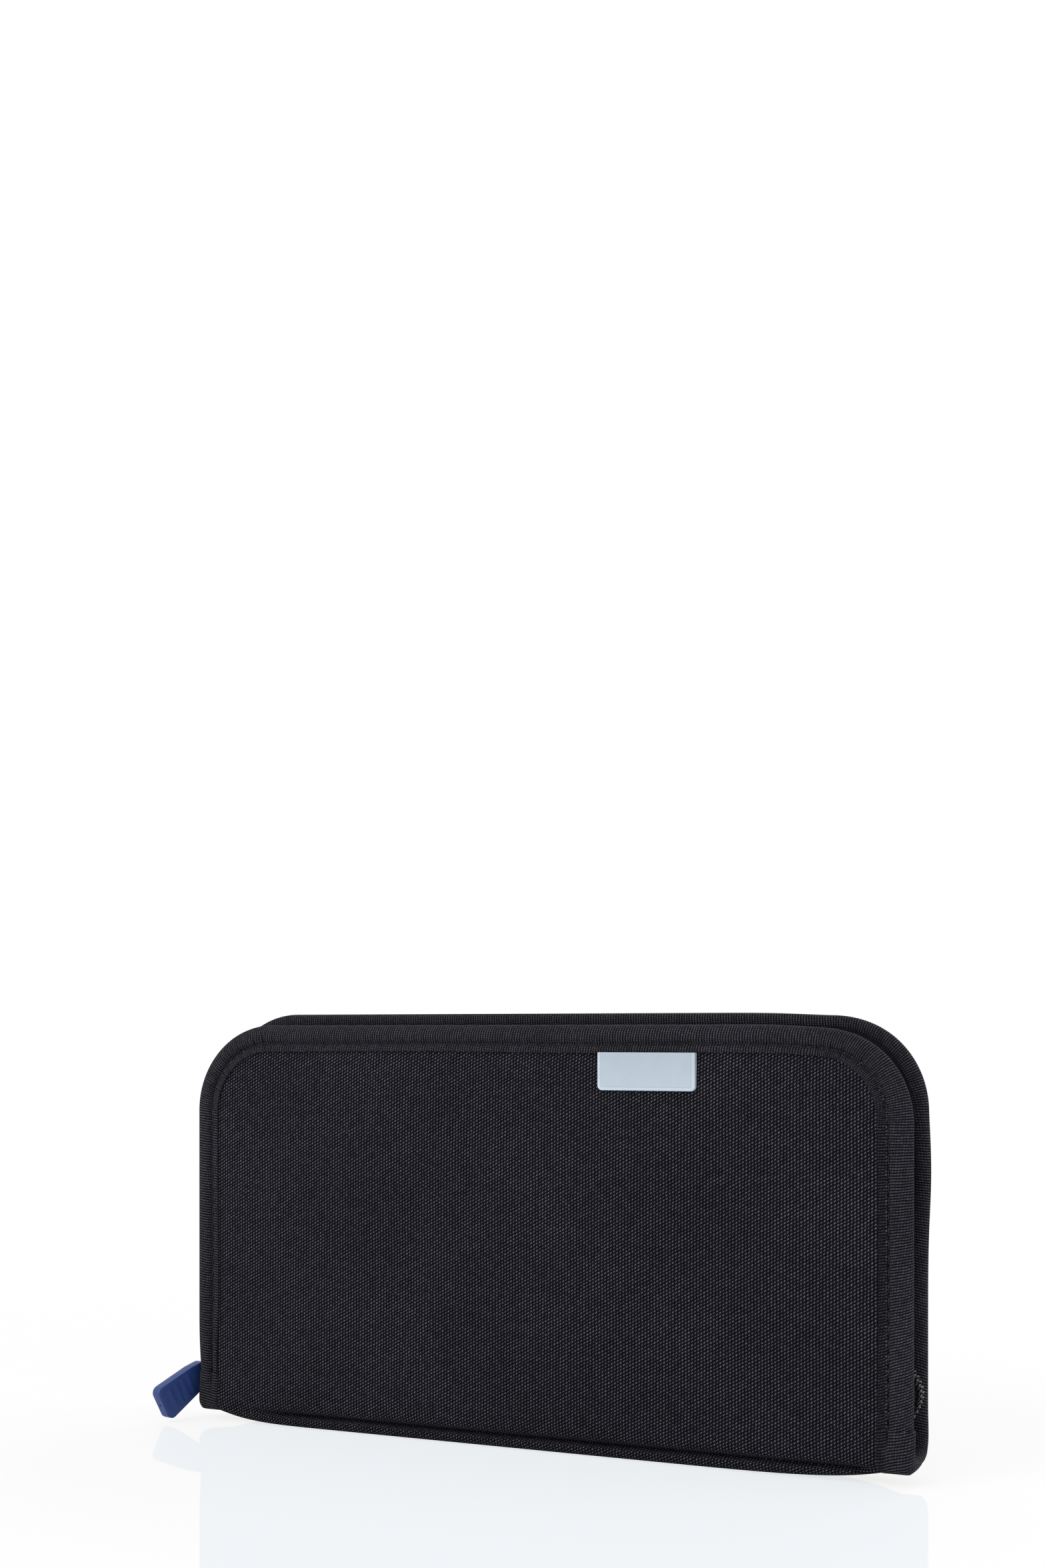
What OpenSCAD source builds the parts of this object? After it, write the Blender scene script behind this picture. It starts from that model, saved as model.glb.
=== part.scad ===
// Zip-around passport holder: two stiffened fabric covers folding on a soft spine.
// +Z is up, X runs along the spine, the front cover faces -Y. The origin is under the
// middle of the spine, and the wallet stands closed on its spine. Millimetres.

/* [Covers] */
// Width of the wallet along its spine
wallet_w = 240; // [200:1:280]
// Height of each cover above its fold
cover_h = 126; // [110:1:150]
// Radius of the two free corners of each cover
corner_r = 28; // [18:1:36]
// Thickness of the closed wallet over its edge bindings
wallet_t = 20; // [18:0.5:28]
// Height of the front fold above the ground, and depth of each fold behind its outer face
fold_r = 4.2; // [3.6:0.1:4.4]
// How much higher the rear cover stands than the front one
rear_lift = 4.4; // [0:0.2:6]

/* [Spine] */
// Length of the spine's middle that touches the ground
belly_l = 170; // [120:2:200]
// Height of the spine's two ends above the ground
end_rise = 2.4; // [0.2:0.2:3]
// Radius of the spine's two long lower edges
belly_r = 0.8; // [0.4:0.1:3]

/* [Layers] */
// Thickness of the outer ballistic fabric
fabric_t = 1.0; // [0.8:0.1:1.4]
// Thickness of the stiffening board with its foam
board_t = 1.5; // [1:0.1:2]
// Thickness of the inner lining
lining_t = 0.6; // [0.4:0.1:0.8]
// Thickness of the grosgrain edge ribbon
ribbon_t = 0.5; // [0.4:0.1:0.7]
// Thickness of the woven zip tape
tape_t = 0.4; // [0.3:0.1:0.6]

/* [Binding] */
// Width of the ribbon seen on the outer face
ribbon_w = 9; // [7:0.5:12]
// Width of the ribbon turned under on the inner face
ribbon_inner_w = 4; // [3:0.2:5]
// Distance of the sewn groove in the ribbon from the cover's edge
seam_in = 6.2; // [4.5:0.1:7]

/* [Zip] */
// Distance between neighbouring teeth of one chain half
zip_pitch = 1.8; // [1.5:0.1:3]
// Width of one chain half, across the closed wallet
chain_w = 1.6; // [1.2:0.1:2]
// Height of the coil above its tape
coil_h = 1.6; // [1.2:0.1:2]
// Gap along the middle of the closed chain, in which the slider's blade runs
blade_gap = 0.9; // [0.7:0.1:1.4]
// Height of the chain's two lower ends above the ground
chain_base = 12; // [11:0.5:16]
// Length of the crimped stop at each end of a chain half
stop_l = 3; // [2:0.5:5]

/* [Slider and pull] */
// Height of the slider along the chain
slider_h = 12; // [9:0.5:16]
// Width of the slider across the chain
slider_w = 7; // [6:0.2:9]
// Thickness of the slider's two plates
plate_t = 1.2; // [0.8:0.1:1.6]
// Radius of the pull ring to the middle of its wire
ring_r = 4; // [3.4:0.1:5]
// Diameter of the pull ring's wire
wire_d = 1.2; // [0.8:0.1:1.6]
// Height of the pull ring above the ground
ring_z = 14.6; // [14.5:0.1:17]
// Length of the rubber pull
pull_l = 22.5; // [18:0.5:36]
// Width of the rubber pull at its free end
pull_w = 12; // [8:0.5:13]
// Thickness of the rubber pull
pull_t = 3.4; // [2.4:0.2:4]
// Turn of the resting pull towards the front, degrees
pull_yaw = 74; // [45:1:78]
// Slope of the resting pull below level, degrees
pull_drop = 28; // [10:1:32]
// Number of grip ribs on each broad face of the pull
grip_ribs = 4; // [2:1:6]

/* [Badge] */
// Width of the rubber badge
badge_w = 31; // [20:1:50]
// Height of the rubber badge
badge_h = 11; // [8:0.5:20]
// Thickness of the rubber badge
badge_t = 1.8; // [1:0.1:3]
// Position of the badge's middle across the front
badge_x = 40; // [-60:1:60]

/* [Pockets] */
// Thickness of the pocket sheets
sheet_t = 0.5; // [0.3:0.1:0.6]
// Slack left inside each flat pocket
slack = 0.4; // [0.3:0.1:0.6]
// Distance of the full-width slip pockets from each side of the cover
slip_inset = 16; // [14:1:22]
// Distance of the slip pockets' mouths below the cover's free edge
mouth_drop = 22; // [20:1:36]
// Gap between the two columns of card pockets
card_gap = 12; // [2:1:16]
// Distance of the rearmost card pockets' mouths below the slip pocket's mouth
card_drop = 12; // [6:1:24]
// Step between the mouths of neighbouring card pockets
card_step = 12; // [8:1:18]
// Width of the passport pocket
passport_w = 134; // [128:1:140]
// Height of the passport pocket
passport_h = 84; // [70:1:92]
// Slack left inside the passport pocket
passport_slack = 1.2; // [0.8:0.2:2]
// Width of the sewn edge of every pocket
seam_w = 2; // [1.5:0.5:3]

/* [Hidden] */
$fn = 48;

// Colours of the cloth, ribbon, zip and fittings
fabric_c = "#24232a";
ribbon_c = "#252429";
lining_c = "#3a3d46";
board_c = "#8a8a86";
zip_c = "#17171b";
metal_c = "#55565c";
pull_c = "#25335a";
badge_c = "#bcc6ce";

// Fits
fold_gap = 0.3;     // between a cover and the fold that it turns on
running = 0.3;      // round the chain inside the slider
wire_play = 0.2;    // round the ring's wire in the slider's bridge
tape_clear = 0.2;   // between the turned-under ribbon and the standing tape
bury = 0.05;        // root of a tooth inside its rail
sunk = 0.06;        // sides of a tooth inside the sides of its rail

// Stack of one cover, measured from its outer face
board_v = ribbon_t + fabric_t;
lining_v = board_v + board_t;
tape_v = lining_v + lining_t;
edge_t = tape_v + tape_t + ribbon_t;
edge_r = edge_t / 2;
base_v = fold_r + fold_gap;         // lower edge of the flat cover
cover_top = fold_r + cover_h;

// Chain, measured from the outline of the closed wallet
lean = rear_lift / 2;
tape_u = ribbon_inner_w + lean + tape_clear;    // outer face of the standing tape
rail_t = 0.55;                                  // bar that the teeth stand on
tip_v = wallet_t / 2 - blade_gap / 2;           // tips of the teeth
rail_v = tip_v - chain_w;
tape_edge_v = tip_v - 0.5;

// Spine between the two folds
spine_half = wallet_t / 2 - fold_r - 0.4;
spine_end = wallet_w / 2 - edge_r;
ribbon_in = wallet_w / 2 - ribbon_w;
spine_front_top = fold_r - 0.1;
spine_rear_top = spine_front_top + rear_lift;

// Slider and pull
coil_x = -wallet_w / 2 + tape_u - coil_h;       // outer face of the coil on the left side
plate_x = coil_x - running - plate_t;
inner_plate_x = coil_x + coil_h + tape_t + running;
slider_base = chain_base - 1.5;
blade_t = blade_gap - 0.3;
bridge_t = 1.0;
bridge_in = wire_d + 2 * wire_play;             // clear height under the bridge
bridge_w = 2.4;
bridge_l = slider_h - 3;
ring_x = plate_x - wire_play - wire_d / 2 - ring_r;
hole_r = wire_d / 2 + 0.8;
hole_edge = 1.8;                                // rubber left between the hole and the near end

// Pockets stand on the lining, and the card pockets on the ticket pocket
pocket_y = fold_r + 6;
slip_w = wallet_w - 2 * slip_inset;
slip_h = cover_top - mouth_drop - pocket_y;
column_x = slip_w / 4;
card_y = pocket_y + 3;
card_w = slip_w / 2 - card_gap;
card_h = slip_h - (card_y - pocket_y) - card_drop;      // the rearmost one

// ---- outlines and sweeps, drawn with a cover lying on its outer face ----

// Cover outline: square at the fold, round at the two free corners
module outline(inset, base = base_v, shift = 0) {
    half = wallet_w / 2 - inset;
    r = corner_r - inset;
    top = cover_top + shift - inset;
    translate([-half, base]) square([2 * half, top - r - base]);
    translate([-half + r, base]) square([2 * (half - r), top - base]);
    for (side = [-1, 1]) translate([side * (half - r), top - r]) circle(r);
}

// Sweeps a section round the left, top and right edges: x = 0 on the edge, inwards is -x
module edge_sweep(base = base_v, shift = 0) {
    half = wallet_w / 2;
    top = cover_top + shift;
    for (side = [0, 1]) mirror([side, 0, 0]) {
        translate([half, top - corner_r, 0]) rotate([90, 0, 0])
            linear_extrude(top - corner_r - base) children();
        translate([half - corner_r, top - corner_r, 0])
            rotate_extrude(angle = 90, $fn = 96) translate([corner_r, 0]) children();
    }
    translate([-(half - corner_r), top, 0]) rotate([0, 0, 90]) rotate([90, 0, 0])
        linear_extrude(2 * (half - corner_r)) children();
}

// Stands a flat front cover up, outer face towards -Y
module stand_front() {
    translate([0, -wallet_t / 2, 0]) mirror([0, 1, 0]) rotate([90, 0, 0]) children();
}

// Stands a flat rear cover up, outer face towards +Y
module stand_rear() {
    translate([0, wallet_t / 2, rear_lift]) rotate([90, 0, 0]) children();
}

// ---- pieces of one cover, lying flat ----

module cover_sheet(v, t) {
    translate([0, 0, v]) linear_extrude(t) outline(edge_r);
}

// Ribbon folded round the edge of the stack, with a round piped edge and a sewn groove
module binding_section() {
    intersection() {
        translate([-edge_r, edge_r]) circle(edge_r);
        translate([-edge_r, 0]) square([edge_r, edge_t]);
    }
    difference() {
        translate([-ribbon_w, 0]) square([ribbon_w - edge_r, ribbon_t]);
        translate([-min(seam_in, ribbon_w - 1), 0]) polygon([[-0.6, -0.1], [0.6, -0.1], [0, ribbon_t / 2]]);
    }
    translate([-ribbon_inner_w, edge_t - ribbon_t]) square([ribbon_inner_w - edge_r, ribbon_t]);
}

// Panel of outer fabric, notched where the ribbon sits on it
module cover_fabric() {
    translate([0, 0, ribbon_t]) linear_extrude(fabric_t) outline(edge_r);
    linear_extrude(ribbon_t) outline(ribbon_w);
}

// Zip tape: a flange sewn to the lining and a standing part that carries the coil
module zip_tape(shift, base) {
    translate([0, 0, tape_v]) linear_extrude(tape_t) difference() {
        outline(edge_r);
        outline(tape_u + tape_t / 2, base_v - 1, shift);
    }
    foot_v = tape_v + tape_t / 2;       // the standing part's foot, inside the flange
    edge_sweep(base, shift) translate([-tape_u - tape_t, foot_v]) square([tape_t, tape_edge_v - foot_v]);
}

// Profile of one tooth on its rail, narrower at the tip
function tooth(middle, pitch) = [
    [middle + 0.21 * pitch, rail_t - bury], [middle + 0.17 * pitch, chain_w],
    [middle - 0.17 * pitch, chain_w], [middle - 0.21 * pitch, rail_t - bury]];

// Straight row of teeth along +x, standing towards +y, on a strip sunk in the rail on all sides
module tooth_row(length, phase) {
    count = floor(length / zip_pitch);
    pitch = length / count;
    translate([0, 0, sunk]) linear_extrude(coil_h - 2 * sunk) polygon(concat(
        [[sunk, rail_t / 2], [length - sunk, rail_t / 2], [length - sunk, rail_t - bury]],
        [for (i = [count - 1:-1:0]) each tooth((i + phase) * pitch, pitch)],
        [[sunk, rail_t - bury]]));
}

// Chain half round three edges; phase places the teeth between those of the other half
module chain_half(shift, base, phase) {
    half = wallet_w / 2;
    top = cover_top + shift;
    side_l = top - corner_r - base;
    coil_r = corner_r - tape_u;
    corner_count = floor(PI / 2 * coil_r / zip_pitch);
    turn = 90 / corner_count;
    translate([0, 0, rail_v]) linear_extrude(rail_t) difference() {
        outline(tape_u - coil_h, base, shift, $fn = 96);
        outline(tape_u, base - 1, shift, $fn = 96);
    }
    translate([-(half - corner_r), top - tape_u + coil_h, rail_v]) rotate([90, 0, 0])
        tooth_row(2 * (half - corner_r), phase);
    for (side = [0, 1]) mirror([side, 0, 0]) {
        translate([half - tape_u + coil_h, top - corner_r, rail_v]) rotate([0, 0, -90])
            rotate([90, 0, 0]) tooth_row(side_l, side == 0 ? phase : 1 - phase);
        translate([half - corner_r, top - corner_r, rail_v])
            for (i = [0:corner_count - 1])
                rotate([0, 0, (i + phase) * turn]) translate([coil_r + coil_h, 0, 0])
                    rotate([0, 0, -90]) rotate([90, 0, 0])
                        translate([0, 0, sunk])
                            linear_extrude(coil_h - 2 * sunk) polygon(tooth(0, zip_pitch));
    }
}

// Crimped stops under both ends of a chain half
module zip_stops(base) {
    for (side = [-1, 1])
        translate([side * (wallet_w / 2 - tape_u + coil_h / 2) - coil_h / 2, base - stop_l, rail_v])
            cube([coil_h, stop_l, chain_w]);
}

// Flat pocket sewn on three sides, mouth towards the top of the cover
module pocket(width, height, y, v, gap) {
    translate([-width / 2, y, v]) difference() {
        cube([width, height, gap + sheet_t]);
        translate([seam_w, seam_w, -1]) cube([width - 2 * seam_w, height, gap + 1]);
    }
}

// ---- nodes of the front cover ----

module front_cover_fabric() { color(fabric_c) stand_front() cover_fabric(); }
module front_board() { color(board_c) stand_front() cover_sheet(board_v, board_t); }
module front_lining() { color(lining_c) stand_front() cover_sheet(lining_v, lining_t); }
module front_binding() { color(ribbon_c) stand_front() edge_sweep() binding_section(); }
module front_zip_tape() { color(zip_c) stand_front() zip_tape(lean, chain_base - stop_l); }
module front_zip_coil() { color(zip_c) stand_front() chain_half(lean, chain_base, 0.25); }
module front_zip_stops() { color(metal_c) stand_front() zip_stops(chain_base); }

// Rubber badge on the front panel, its upper edge against the ribbon
module badge() {
    bevel = 0.6;        // slope round the front face
    color(badge_c) stand_front()
        translate([badge_x - badge_w / 2, cover_top - ribbon_w - badge_h, ribbon_t - badge_t - ribbon_t])
            hull() {
                translate([0, 0, bevel]) linear_extrude(badge_t - bevel) badge_outline(0);
                linear_extrude(badge_t) badge_outline(bevel);
            }
}

// Outline of the badge, round at its two lower corners
module badge_outline(inset) {
    r = 1.4 - inset;
    hull() {
        translate([inset, badge_h - inset - 1]) square([badge_w - 2 * inset, 1]);
        for (x = [inset + r, badge_w - inset - r]) translate([x, inset + r]) circle(r);
    }
}

module ticket_pocket() {
    color(lining_c) stand_front() pocket(slip_w, slip_h, pocket_y, tape_v, slack);
}

// Card pockets step down like stairs, each sewn on the one behind it
module card_pocket(side, tier) {
    v = tape_v + tier * (slack + sheet_t);
    color(lining_c) stand_front() translate([side * column_x, 0, 0])
        pocket(card_w, card_h - (tier - 1) * card_step, card_y, v, slack);
}

// ---- nodes of the rear cover ----

module rear_cover_fabric() { color(fabric_c) stand_rear() cover_fabric(); }
module rear_board() { color(board_c) stand_rear() cover_sheet(board_v, board_t); }
module rear_lining() { color(lining_c) stand_rear() cover_sheet(lining_v, lining_t); }
module rear_binding() { color(ribbon_c) stand_rear() edge_sweep() binding_section(); }
module rear_zip_tape() { color(zip_c) stand_rear() zip_tape(-lean, chain_base - stop_l - rear_lift); }
module rear_zip_coil() { color(zip_c) stand_rear() chain_half(-lean, chain_base - rear_lift, 0.75); }
module rear_zip_stops() { color(metal_c) stand_rear() zip_stops(chain_base - rear_lift); }

module rear_slip_pocket() {
    color(lining_c) stand_rear() pocket(slip_w, slip_h, pocket_y, tape_v, slack);
}

module passport_pocket() {
    color(lining_c) stand_rear() translate([-(slip_w - passport_w) / 2 + seam_w, 0, 0])
        pocket(passport_w, passport_h, card_y, tape_v + slack + sheet_t, passport_slack);
}

// ---- spine ----

// Extrudes a profile drawn in the Y-Z plane between two places along the spine
module along_spine(from, to) {
    translate([from, 0, 0]) rotate([90, 0, 90]) linear_extrude(to - from) children();
}

// Wedge between the folds, round at its lower edges; over lowers its sloping top
module spine_profile(over) {
    round_y = spine_half - belly_r;
    polygon([[-spine_half, belly_r], [spine_half, belly_r], [spine_half, spine_rear_top - over],
             [-spine_half, spine_front_top - over]]);
    translate([-round_y, 0]) square([2 * round_y, belly_r]);
    for (side = [-1, 1]) translate([side * round_y, belly_r]) circle(belly_r);
}

// Everything above the spine's underside, whose two ends slope up, in the X-Z plane
module above_belly(lift) {
    half = wallet_w / 2;
    translate([0, lift]) polygon([[-half, end_rise], [-belly_l / 2, 0], [belly_l / 2, 0],
                                  [half, end_rise], [half, spine_rear_top + 1],
                                  [-half, spine_rear_top + 1]]);
}

// Stretch of the spine between two places, with its lower face lifted and its top lowered
module spine_body(from, to, under, over) {
    intersection() {
        along_spine(from, to) spine_profile(over);
        translate([0, spine_half + 1, 0]) rotate([90, 0, 0])
            linear_extrude(2 * spine_half + 2) above_belly(under);
    }
}

module spine_fabric() {
    color(fabric_c) difference() {
        spine_body(-ribbon_in, ribbon_in, 0, lining_t);
        spine_body(-ribbon_in - 1, ribbon_in + 1, fabric_t, 0);
    }
}

module spine_foam() {
    color(board_c) spine_body(-spine_end, spine_end, fabric_t, lining_t);
}

module spine_lining() {
    color(lining_c) difference() {
        spine_body(-ribbon_in, ribbon_in, fabric_t, 0);
        spine_body(-ribbon_in - 1, ribbon_in + 1, 0, lining_t);
    }
}

// Ribbon folded round one end of the spine
module spine_binding(side) {
    color(ribbon_c) mirror([side, 0, 0]) difference() {
        spine_body(ribbon_in, wallet_w / 2, 0, 0);
        spine_body(ribbon_in - 1, spine_end, fabric_t, lining_t);
    }
}

// ---- slider and pull ----

// Plate outline in the Y-Z plane: narrow where the chain is closed, wide at the mouth
module slider_outline() {
    neck = 0.72 * slider_w;
    r = 1.2;
    hull() {
        for (y = [-1, 1]) {
            translate([y * (slider_w / 2 - r), r]) circle(r);
            translate([y * (neck / 2 - r), slider_h - r]) circle(r);
        }
    }
}

// Arch over the outer plate that the pull ring hangs in
module slider_bridge() {
    rise = bridge_in + bridge_t;
    translate([plate_x, bridge_w / 2, slider_base + (slider_h - bridge_l) / 2])
        rotate([90, 0, 0]) linear_extrude(bridge_w) difference() {
            hull() {
                square([0.1, bridge_l]);
                translate([-rise, 1.6]) square([0.1, bridge_l - 3.2]);
            }
            translate([-bridge_in, bridge_t + 0.4]) square([bridge_in, bridge_l - 2 * bridge_t - 0.8]);
        }
}

module zip_slider() {
    lip_y = tip_v - wallet_t / 2 + blade_gap + chain_w + running;
    color(metal_c) {
        translate([plate_x, 0, slider_base]) rotate([90, 0, 90]) linear_extrude(plate_t) slider_outline();
        translate([inner_plate_x, 0, slider_base]) rotate([90, 0, 90])
            linear_extrude(plate_t) slider_outline();
        translate([plate_x + plate_t / 2, -blade_t / 2, slider_base + 1])
            cube([inner_plate_x - plate_x, blade_t, slider_h / 3]);
        translate([plate_x + plate_t / 2, lip_y, slider_base + 1.5])
            cube([running + coil_h, 0.6, slider_h - 5]);
        slider_bridge();
    }
}

module pull_ring() {
    color(metal_c) translate([ring_x, 0, ring_z])
        rotate_extrude($fn = 96) translate([ring_r, 0]) circle(d = wire_d, $fn = 32);
}

// Puts the pull's own frame on the ring: +x runs from the hole towards the free end
module on_ring() {
    translate([ring_x, 0, ring_z]) rotate([0, 0, 180 + pull_yaw]) translate([ring_r, 0, 0])
        rotate([0, pull_drop, 0]) rotate([90, 0, 0]) children();
}

// Outline of the pull: widening from the ring, square with round corners at the free end
module pull_outline(inset) {
    near = hole_r + hole_edge;
    r = 2.2 - inset;
    far = pull_l - near;
    hull() {
        circle(near - inset);
        for (side = [-1, 1]) {
            translate([far - inset - r, side * (pull_w / 2 - inset - r)]) circle(r);
            translate([far * 0.2, side * (pull_w / 2 - 1.4 - inset - r)]) circle(r);
        }
    }
}

// Sunk panel on each broad face of the pull, with grip ribs left standing across it
module pull_panel(land) {
    start = hole_r + land;
    span = pull_l - hole_r - hole_edge - land - start;
    rib = [1.1, pull_w - 2 * land - 1.4];
    difference() {
        intersection() {
            pull_outline(land);
            translate([start, -pull_w / 2]) square([pull_l, pull_w]);
        }
        for (i = [1:grip_ribs])
            translate([start + i * span / (grip_ribs + 1) - rib[0] / 2, -rib[1] / 2]) square(rib);
    }
}

module pull_tab() {
    dish = 0.3;         // depth of the sunk panels
    land = 1.7;         // plain border round each panel
    chamfer = 0.5;
    dimple = 0.9;       // radius of the pit in the free end
    color(pull_c) on_ring() difference() {
        union() {
            translate([0, 0, -pull_t / 2 + chamfer]) linear_extrude(pull_t - 2 * chamfer) pull_outline(0);
            translate([0, 0, -pull_t / 2]) linear_extrude(pull_t) pull_outline(chamfer);
        }
        cylinder(h = pull_t + 2, r = hole_r, center = true);
        for (face = [0, 1]) mirror([0, 0, face])
            translate([0, 0, pull_t / 2 - dish]) linear_extrude(1) pull_panel(land);
        translate([pull_l - hole_r - hole_edge + 0.6 * dimple, 0, 0]) sphere(dimple, $fn = 24);
    }
}

front_cover_fabric();
front_board();
front_lining();
front_binding();
front_zip_tape();
front_zip_coil();
front_zip_stops();
rear_cover_fabric();
rear_board();
rear_lining();
rear_binding();
rear_zip_tape();
rear_zip_coil();
rear_zip_stops();
spine_fabric();
spine_foam();
spine_lining();
spine_binding(1);  // spine_binding_left
spine_binding(0);  // spine_binding_right
zip_slider();
pull_ring();
pull_tab();
badge();
ticket_pocket();
card_pocket(-1, 1);  // card_pocket_left_1
card_pocket(-1, 2);  // card_pocket_left_2
card_pocket(-1, 3);  // card_pocket_left_3
card_pocket(1, 1);  // card_pocket_right_1
card_pocket(1, 2);  // card_pocket_right_2
card_pocket(1, 3);  // card_pocket_right_3
rear_slip_pocket();
passport_pocket();
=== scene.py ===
"""Zip-around passport holder: cloth, ribbon, zip and trim dressed over the packed frame."""

import bpy
import numpy as np
from bpy.props import FloatProperty, FloatVectorProperty, IntProperty, PointerProperty
from mathutils import Matrix, Vector


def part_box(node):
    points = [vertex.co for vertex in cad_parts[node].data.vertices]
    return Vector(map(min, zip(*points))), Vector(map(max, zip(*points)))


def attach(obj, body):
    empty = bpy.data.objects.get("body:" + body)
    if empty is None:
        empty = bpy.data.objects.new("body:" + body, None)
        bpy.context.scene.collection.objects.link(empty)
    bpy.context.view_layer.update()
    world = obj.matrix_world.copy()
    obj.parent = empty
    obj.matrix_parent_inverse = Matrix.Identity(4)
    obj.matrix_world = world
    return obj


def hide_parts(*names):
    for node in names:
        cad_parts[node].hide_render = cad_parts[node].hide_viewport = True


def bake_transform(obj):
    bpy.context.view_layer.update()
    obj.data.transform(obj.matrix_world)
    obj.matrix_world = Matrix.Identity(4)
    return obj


bl_info = {
    "name": "Zip-around passport holder",
    "version": (1, 0, 0),
    "blender": (4, 5, 0),
    "location": "View3D > Sidebar > Wallet",
    "description": "Models the cloth, ribbon, zip, pockets and rubber trim of a travel wallet",
    "category": "Object",
}

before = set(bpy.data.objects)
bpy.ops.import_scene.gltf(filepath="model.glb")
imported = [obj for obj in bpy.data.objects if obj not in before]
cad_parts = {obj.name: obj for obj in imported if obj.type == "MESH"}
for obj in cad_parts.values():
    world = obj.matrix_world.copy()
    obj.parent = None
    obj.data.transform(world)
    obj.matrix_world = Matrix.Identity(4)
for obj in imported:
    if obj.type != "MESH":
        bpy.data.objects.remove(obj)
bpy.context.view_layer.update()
MM = 0.001

# Places taken from the frame. A cover's own coordinates are x along the spine, y up from the
# ground under the front cover, and v, the depth from the cover's outer face.
FRONT_LOW, FRONT_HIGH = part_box("front_binding")
_, REAR_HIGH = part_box("rear_binding")
COIL_LOW, COIL_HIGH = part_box("front_zip_coil")
HALF_W = FRONT_HIGH.x
FACE_Y = -FRONT_LOW.y                    # half the thickness of the closed wallet
COVER_TOP = FRONT_HIGH.z
REAR_LIFT = REAR_HIGH.z - FRONT_HIGH.z
CHAIN_BASE = COIL_LOW.z
CHAIN_OUT = HALF_W - COIL_HIGH.x         # outer face of the coil, in from the cover's edge
LEAN = REAR_LIFT / 2                     # how far each half of the zip leans to meet the other

# Outline and layers of a cover
CORNER = 28 * MM                         # radius of the two free corners
FOLD_TOP = 16 * MM                       # height at which a cover's flat panel ends
RIBBON_W = 9 * MM                        # ribbon seen on the outer face
STITCH_IN = 6.2 * MM                     # stitch line, in from the edge
NARROW, SPREAD = 0.93, 1.12              # the ribbon's width along the top and down the right
TUCK = 6.6 * MM                          # the outer cloth ends under the ribbon here
CLOTH_V = 0.45 * MM                      # depth of the outer cloth under the ribbon
LINING_IN = 3.2 * MM                     # edge of the lining, in from the cover's edge
LINING_FOOT = 5.2 * MM                   # height of its lower edge
INNER_V = 4.0 * MM                       # depth of the lining's inner face
EDGE_T = 4.5 * MM                        # thickness of a bound edge

# Cross-section of the bound edge: distance in from the edge, depth. Millimetres.
RIBBON_SECTION = [
    (9.0, 0.6), (8.9, 0.05), (7.9, 0.0), (6.9, 0.25), (6.2, 1.1), (5.5, 0.2), (4.3, -0.5),
    (2.3, -0.25), (0.6, 0.8), (0.0, 2.25), (0.6, 3.75), (2.1, 4.5), (3.7, 4.45), (4.1, 4.05)]

# Lower ends of the outer cloth, as Y and Z in millimetres, from a cover down to the middle of
# the spine: in the wallet's middle it sags to the ground, at its ends it turns under tightly.
MIDDLE_FRONT = [
    (-9.8, 16), (-10.1, 11), (-10.1, 8), (-9.5, 5.8), (-8.6, 4), (-8.8, 2.6), (-8, 0.8),
    (-6, 0.02), (0, 0)]
MIDDLE_REAR = [
    (9.7, 20.4), (9.65, 12.5), (9.25, 9.2), (9.9, 6.2), (9.5, 2.8), (7.4, 0.5), (4, 0), (0, 0)]
END_FRONT = [(-10, 16), (-10, 9), (-9.6, 5.8), (-7.8, 4), (-3.8, 3.8), (0, 4.3)]
END_REAR = [
    (10, 20.4), (10.1, 14), (10, 10.8), (9.5, 8.4), (8, 5.8), (4.5, 4.4), (0, 4.3)]
CREASE = 2.1                             # least depth of the crease along a fold, millimetres
CREASE_Z = 3.9                           # its height above each cover's foot, millimetres

# Wear of the bound edges
SWELL_Y = 84 * MM                        # height at which the rear cover's right edge bows out
PULL_Y = 12 * MM                         # height at which the pull presses on the left edges
SAG_X = 96 * MM                          # where the top edge sags, beside its right corner
STRIP = (5.4 * MM, 6.6 * MM)             # start of the ribbon's strip beside the panel
SUNK = 0.4 * MM                          # how far that strip has sunk down the right edge


# ---- helpers for pieces ----

def deselect():
    """Leaves nothing selected, so that the next operator acts on its own piece alone."""
    bpy.ops.object.select_all(action="DESELECT")


def choose(piece):
    """Makes one piece the only selected and the active one."""
    deselect()
    piece.select_set(True)
    bpy.context.view_layer.objects.active = piece


def named(name):
    """Names the piece that an operator has just added."""
    piece = bpy.context.object
    piece.name = piece.data.name = name
    return piece


def modify(piece, kind, **settings):
    """Adds a modifier with its settings and applies it."""
    choose(piece)
    modifier = piece.modifiers.new(kind.title(), kind)
    for key, value in settings.items():
        setattr(modifier, key, value)
    bpy.ops.object.modifier_apply(modifier=modifier.name)


def settle(piece):
    """Moves a piece's place, turn and scale into its mesh."""
    choose(piece)
    bpy.ops.object.transform_apply(location=True, rotation=True, scale=True)


def paint(piece, material):
    """Gives a piece its one material."""
    piece.data.materials.clear()
    piece.data.materials.append(material)


def fit(piece, made, body, slot, *nodes):
    """Paints a piece that moves with one body and stands for some of the frame's nodes."""
    paint(piece, made)
    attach(piece, body)
    for node in nodes:
        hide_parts(node)


def shade(piece, degrees=60):
    """Smooths a piece's shading over edges flatter than the given angle."""
    choose(piece)
    bpy.ops.object.shade_smooth_by_angle(angle=np.radians(degrees))


def edited(piece, *steps):
    """Runs mesh operators on the whole of a piece in edit mode."""
    choose(piece)
    bpy.ops.object.mode_set(mode="EDIT")
    bpy.ops.mesh.select_all(action="SELECT")
    for operator, settings in steps:
        operator(**settings)
    bpy.ops.object.mode_set(mode="OBJECT")


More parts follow.
